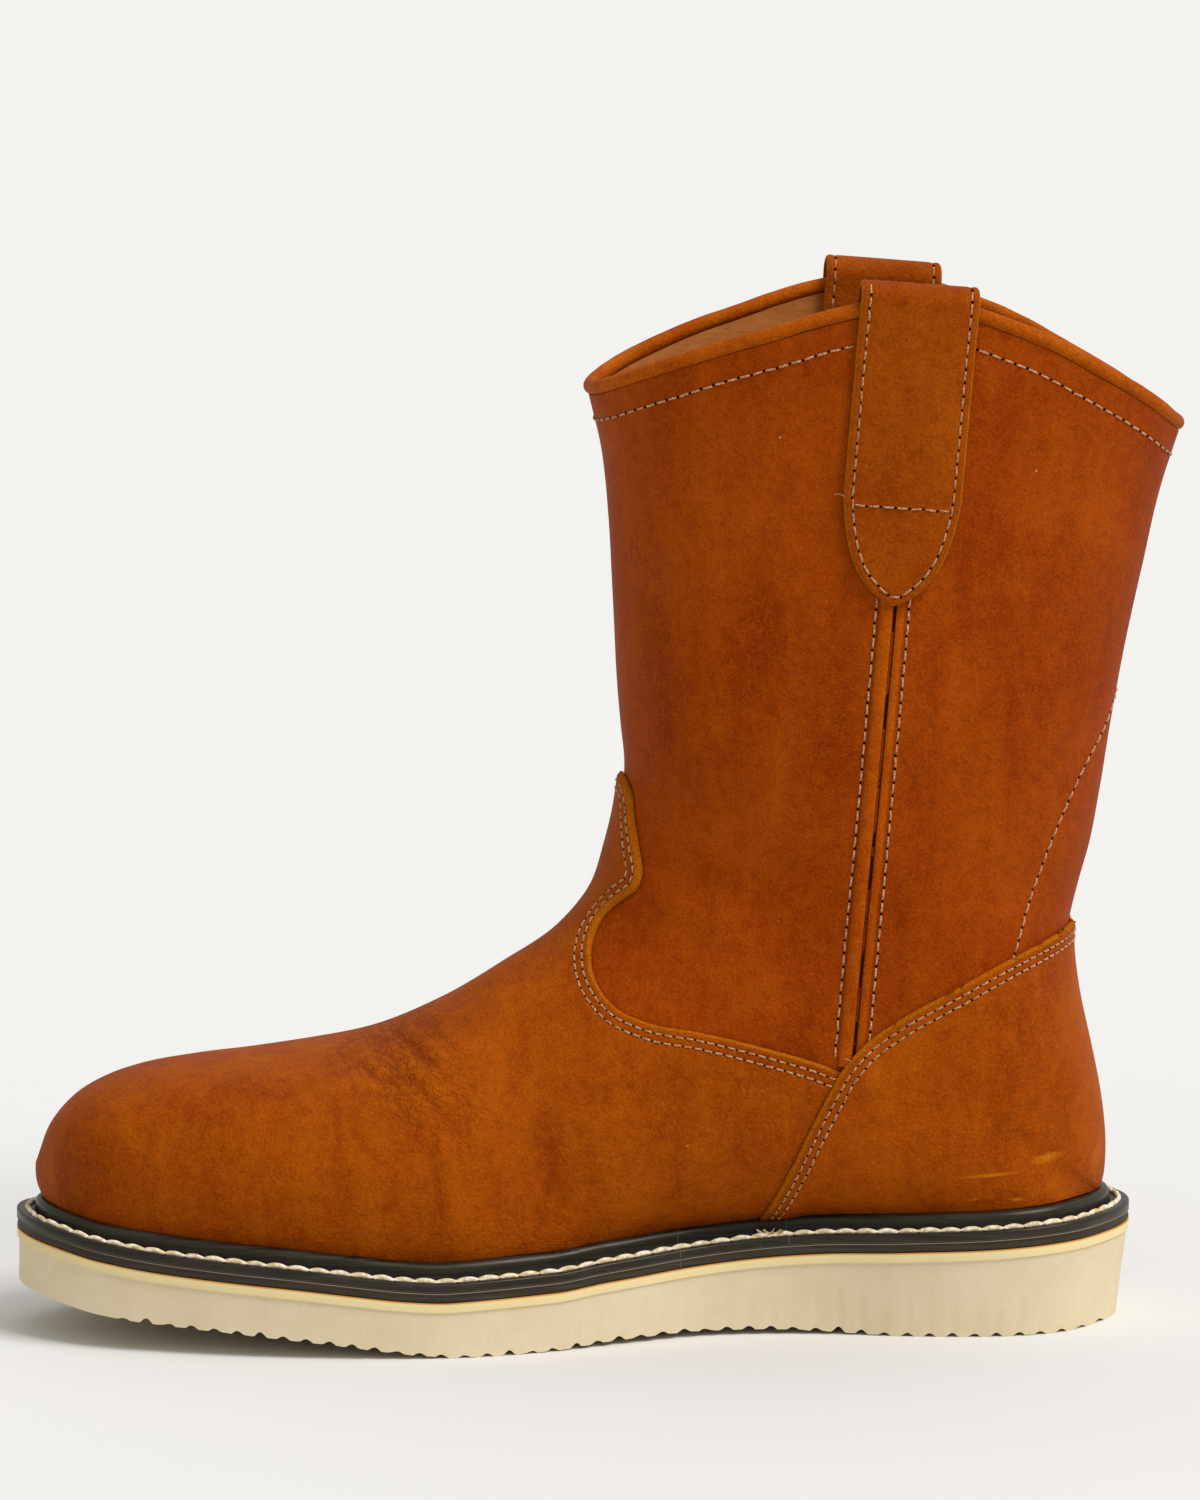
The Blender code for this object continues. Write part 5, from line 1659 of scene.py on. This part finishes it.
def tread_lift(x, across):
    """Height of the rippled tread over its plain form at a place along X and a share across."""
    chevron = RIPPLE_PITCH * (1 - np.abs(across))
    phase = ((HEEL_X - x + chevron) / RIPPLE_PITCH) % 1.0
    wave = np.where(phase > 0.45, np.sin(pi * (phase - 0.45) / 0.55), 0)
    ends = np.clip((HEEL_X - x) / RIPPLE_PITCH - 0.6, 0, 1) * np.clip((x - x_at(1) - TOE_PLAIN) / 0.012, 0, 1)
    places = zip(np.ravel(x), np.ravel(np.broadcast_to(across, np.shape(x))))
    torn = np.array([noise.noise(Vector((at / 0.0052, 3.0 * share, 0.0))) for at, share in places])
    return RIPPLE_DEPTH * ends * np.maximum(wave * (0.9 + 1.1 * torn) + 0.45 * np.abs(torn), 0)


def make_outsole(finish):
    """Foam wedge: proud strip at the top, tapering sides and a rippled tread."""
    turns = np.linspace(0, pi, 620)
    side_lines = (
        (0.0000, 0.00, 0.0),
        (-0.0001, 0.00, 0.12 * STRIP_HEIGHT),
        (0.0000, 0.00, STRIP_HEIGHT),
        (STRIP_STEP, 0.02, STRIP_HEIGHT + STRIP_STEP),
    )
    across = np.linspace(-1, 1, 13)
    columns, drops = [], []
    edges = {side: {} for side in (INNER, OUTER)}
    for side in (INNER, OUTER):
        column, drop = [], []
        for extra, taper, down in side_lines:
            x, y = outline(side, turns, extra, 0, taper)
            column.append(np.column_stack([x, y, sole_top(x) - down]))
            drop.append(np.full(len(x), down))
        foot_x, foot_y = outline(side, turns, 0, 0, 1.0)
        high = column[-1]
        foot = np.column_stack([foot_x, foot_y, sole_bottom(foot_x) + tread_lift(foot_x, np.ones(1))])
        for share in (0.25, 0.5, 0.75, 0.93):
            column.append(high + share * (foot - high))
            drop.append(sole_top(high[:, 0]) - column[-1][:, 2])
        column.append(foot)
        drop.append(sole_top(foot_x) - foot[:, 2])
        edges[side] = foot
        columns.append(column)
        drops.append(drop)
    tread, tread_drop = [], []
    for share in across[1:-1]:
        weight = (share + 1) / 2
        x = edges[INNER][:, 0] * (1 - weight) + edges[OUTER][:, 0] * weight
        y = edges[INNER][:, 1] * (1 - weight) + edges[OUTER][:, 1] * weight
        z = sole_bottom(x) + tread_lift(x, share)
        tread.append(np.column_stack([x, y, z]))
        tread_drop.append(np.full(len(x), HEEL_HEIGHT))
    whole = columns[0] + tread + columns[1][::-1]
    whole_drop = drops[0] + tread_drop + drops[1][::-1]
    rows = np.stack(whole, axis=1)
    drop = np.stack(whole_drop, axis=1)
    points, faces, first = welded(rows.reshape(-1, 3), grid_faces(*rows.shape[:2], closed=True))
    faces = [face[::-1] for face in faces]
    thing = new_piece("foam_wedge", points, faces, finish, {"below_top": drop.ravel()[first]}, sharp=35)
    return settle(thing, "wedge_foam", "outsole")


# Loose thread ends. Columns: what they leave, side, x and z in side view, way they point in degrees, length
LOOSE_ENDS = (
    ("strap", INNER, 0.0945, 0.2225, -35, 0.0034),
    ("strap", INNER, 0.0640, 0.2353, 175, 0.0026),
    ("strap", INNER, 0.0655, 0.2740, 200, 0.0018),
    ("counter", INNER, 0.1335, 0.1130, 70, 0.0038),
    ("counter", INNER, 0.1345, 0.1125, 35, 0.0028),
    ("vamp", INNER, 0.0545, 0.0815, 60, 0.0020),
    ("vamp", INNER, 0.0302, 0.0865, 100, 0.0016),
    ("counter", INNER, 0.0672, 0.0780, 150, 0.0018),
    ("counter", OUTER, 0.0900, 0.1030, 120, 0.0026),
    ("strap", OUTER, 0.0640, 0.2300, 190, 0.0026),
)
KNOT_X = 0.0470
KNOT_SPREAD = 0.0036
KNOT_ENDS = (
    (165, 0.0022),
    (20, 0.0020),
    (120, 0.0014),
    (200, 0.0018),
    (70, 0.0017),
    (340, 0.0022),
    (100, 0.0012),
    (15, 0.0022),
    (50, 0.0016),
)


def thread_end(start, way, out, length, radius):
    """Rings of a thin curved tube from a start along a way, lifting off."""
    across = np.cross(way, out)
    rings = []
    for share in np.linspace(0, 1, 7):
        bend = 0.35 * sin(2.6 * share)
        centre = start + length * (share * way + 0.45 * share**2 * out + bend * 0.5 * across)
        turn = [2 * pi * j / 5 for j in range(5)]
        size = radius * (1 - 0.35 * share)
        rings.append([centre + size * (cos(a) * across + sin(a) * out) for a in turn])
    return rings


def make_thread_ends(name, ends, radius, finish, slot):
    """Loose ends as one piece: each a start, a way along the surface, the way out and a length."""
    points, faces = [], []
    for start, way, out, length in ends:
        rows = np.array(thread_end(start, way, out, length, radius))
        count, first = rows.shape[1], len(points)
        last = first + (rows.shape[0] - 1) * count
        points += rows.reshape(-1, 3).tolist()
        faces += (grid_faces(*rows.shape[:2], closed=True) + first).tolist()
        faces += [list(range(first, first + count)), list(range(last, last + count))[::-1]]
    return settle(new_piece(name, points, faces, finish, sharp=80), slot)


def loose_ends(trees):
    ends = []
    for what, side, x, z, degrees, length in LOOSE_ENDS:
        hits, normals = seen_from(trees[what, side], [(x, z)], side * REACH, -side)
        if len(hits):
            way = np.array((cos(radians(degrees)), 0, sin(radians(degrees))))
            way -= normals[0] * way.dot(normals[0])
            ends.append((hits[0], way / np.linalg.norm(way), normals[0], length))
    return ends


def knot_ends():
    """Frayed ends where the thick thread of the welt starts and stops."""
    x, y = outline(INNER, EDGE_TURNS, WELT_ROW)
    at = int(np.argmin(abs(x - KNOT_X)))
    start = np.array((x[at], y[at], float(welt_base(x[at])) + FLANGE + 0.0006))
    out = np.array((0.0, -0.35, 0.94))
    ends = []
    for k, (degrees, length) in enumerate(KNOT_ENDS):
        way = np.array((cos(radians(degrees)), -0.4 * sin(radians(degrees)), 0.5 * abs(sin(radians(degrees)))))
        along = np.array((KNOT_SPREAD * (k / (len(KNOT_ENDS) - 1) - 0.5), 0.0, 0.0))
        ends.append((start + along, way / np.linalg.norm(way), out, length))
    return ends


# Stage

FLOOR_HALF = 40.0
FLOOR_TONES = (0.706, 0.700, 0.686), (0.723, 0.718, 0.707)
SKY = (1.0, 0.995, 0.975, 1.0)
SKY_STRENGTH = 0.58

# Soft suns: name, where each stands, its strength and its spread in degrees
SUNS = (
    ("key", (0.62, -0.50, 0.98), 2.45, 30),
    ("back", (0.30, 0.60, 1.20), 0.30, 50),
)
CAMERA_PLACE = (-0.1795, -2.2929, 0.47)
CAMERA_AIM = (0.00094, 0.0, 0.16017)
SENSOR = 36.0
PHOTO_HEIGHT = 1500
FOCAL_PIXELS = 8341.3


def make_stage():
    """Wide pale floor under an even sky, soft suns from the upper right and the back, and the camera."""
    finish, tree, shader = new_material("pale floor")
    shade = cloud(tree, object_place(tree), 0.6, 2)
    tree.links.new(blended(tree, shade, *FLOOR_TONES), shader.inputs["Base Color"])
    shader.inputs["Roughness"].default_value = 0.9
    shader.inputs["Specular IOR Level"].default_value = 0.05
    corners = [(x * FLOOR_HALF, y * FLOOR_HALF, 0) for x, y in ((-1, -1), (1, -1), (1, 1), (-1, 1))]
    new_piece("floor", corners, [(0, 1, 2, 3)], finish)

    world = bpy.data.worlds.new("studio")
    world.use_nodes = True
    sky = world.node_tree.nodes["Background"]
    sky.inputs["Color"].default_value = SKY
    sky.inputs["Strength"].default_value = SKY_STRENGTH
    bpy.context.scene.world = world
    for name, place, strength, spread in SUNS:
        data = bpy.data.lights.new(name, "SUN")
        data.energy = strength
        data.angle = radians(spread)
        lamp = bpy.data.objects.new(name, data)
        lamp.rotation_euler = Vector(place).to_track_quat("Z", "Y").to_euler()
        bpy.context.scene.collection.objects.link(lamp)

    data = bpy.data.cameras.new("camera")
    data.sensor_fit = "VERTICAL"
    data.sensor_height = SENSOR
    data.lens = SENSOR * FOCAL_PIXELS / PHOTO_HEIGHT
    data.clip_start, data.clip_end = 0.1, 3 * FLOOR_HALF
    camera = bpy.data.objects.new("camera", data)
    camera.location = CAMERA_PLACE
    camera.rotation_euler = (Vector(CAMERA_AIM) - camera.location).to_track_quat("-Z", "Y").to_euler()
    bpy.context.scene.collection.objects.link(camera)
    bpy.context.scene.camera = camera
    bpy.context.scene.view_settings.view_transform = "Standard"


def build():
    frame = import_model()
    make_stage()
    # Tones per copy of the leather: the vamp's and counter's lighter and yellower as painted light, the shaft's redder
    # as painted shade.
    body = leather("tan shaft leather", (1.03, 0.88, 0.8))
    front = leather("tan vamp leather", (1.08, 1.15, 0.9), raw=0.0007, broken=True)
    heel = leather("tan counter leather", (1.15, 1.19, 0.9), raw=0.0008, scuffs=COUNTER_SCUFFS)
    strap = leather("tan strap leather", (0.98, 0.98, 0.9), raw=0.0004)
    roll = leather("tan roll leather", (1.30, 1.45, 1.2))
    lap = leather("tan seam leather", (1.28, 1.28, 1.0), grooved=True)
    lining = lining_leather()
    rubber = black_rubber("black rubber", (0.011, 0.009, 0.007), (0.045, 0.038, 0.028), 0.30, WELT_JOINTS)
    layer = black_rubber("dark layer", (0.026, 0.019, 0.013), (0.075, 0.058, 0.042), 0.60, WELT_JOINTS[:1])
    tan_thread = thread("tan thread", (0.60, 0.36, 0.19), (0.34, 0.14, 0.050))
    pale_thread = thread("pale thread", (0.64, 0.40, 0.23), (0.38, 0.17, 0.070))
    cream_thread = thread("cream thread", (0.88, 0.81, 0.62), (0.60, 0.45, 0.24), 700)
    knot_thread = thread("knot thread", (0.72, 0.55, 0.30), (0.48, 0.30, 0.10), 900)
    # Needle holes are near-black plugs: painted shade for the hollow holes.
    hole = plain("needle hole", (0.010, 0.004, 0.002), 0.8)

    frame["nodes"]["insole"].data.materials.clear()
    frame["nodes"]["insole"].data.materials.append(insole_leather())

    skin = make_shaft(body, lining)
    tree = tree_of(skin["points"], skin["faces"])
    vamp_line, vamp_tree = make_vamp(tree, front)
    counter_line, counter_tree = make_counter(tree, heel)
    make_seam("side_lap_inner", "side_seam_inner", tree, INNER, lap)
    make_seam("side_lap_outer", "side_seam_outer", tree, OUTER, lap)
    strap_trees = {
        INNER: make_strap("strap_inner", "pull_strap_inner", tree, INNER, strap),
        OUTER: make_strap("strap_outer", "pull_strap_outer", tree, OUTER, strap),
    }

    top_row = section(SECTIONS[-1][0], 90, 80)[1:-2]
    ring = []
    for point in top_row:
        near, normal, _, _ = tree.find_nearest(Vector(point))
        ring.append((Vector(point), normal))
    make_binding(ring, roll)
    make_welt(rubber)
    make_midsole(layer)
    make_outsole(wedge_foam())

    stitches = stitch_tree()
    rows = [beside(tree, vamp_tree, vamp_line, gap) for gap in STITCH_GAPS]
    stitch_rows("vamp_stitches", stitches, rows, FINE_PITCH, tan_thread, hole, FINE_STITCH, "overlay_leather")
    rows = [beside(tree, counter_tree, counter_line, -gap) for gap in STITCH_GAPS]
    stitch_rows("counter_stitches", stitches, rows, FINE_PITCH, tan_thread, hole, FINE_STITCH, "overlay_leather")
    rows = []
    for side in (INNER, OUTER):
        rows += [beside(tree, tree, seam_line(tree, side, across), 0) for across in SEAM_ROWS]
    stay = [on_skin(tree, curve_through(BACK_STAY, 0.001), side) for side in (INNER, OUTER)]
    rows.append(beside(tree, tree, laid(tree, stay[0][::-1] + stay[1]), 0))
    collar = collar_rows(tree, ring)
    rows += collar + [(points - normals * WALL, -normals) for points, normals in collar]
    stitch_rows("shaft_stitches", stitches, rows, SEAM_PITCH, pale_thread, hole, LONG_STITCH, "upper_leather")
    for side, name in ((INNER, "strap_inner_stitches"), (OUTER, "strap_outer_stitches")):
        rows = strap_rows(strap_trees[side], side)
        stitch_rows(name, stitches, rows, STRAP_PITCH, tan_thread, hole, LONG_STITCH, "strap_leather")
    rows = welt_rows()
    stitch_rows("welt_stitches", stitches, rows, WELT_PITCH, cream_thread, hole, WELT_STITCH, "black_rubber")
    trees = {("strap", side): strap_trees[side] for side in (INNER, OUTER)}
    for side in (INNER, OUTER):
        trees["counter", side] = counter_tree
        trees["vamp", side] = vamp_tree
    make_thread_ends("loose_ends", loose_ends(trees), 0.00014, tan_thread, "overlay_leather")
    make_thread_ends("welt_knot", knot_ends(), 0.00042, knot_thread, "black_rubber")


build()
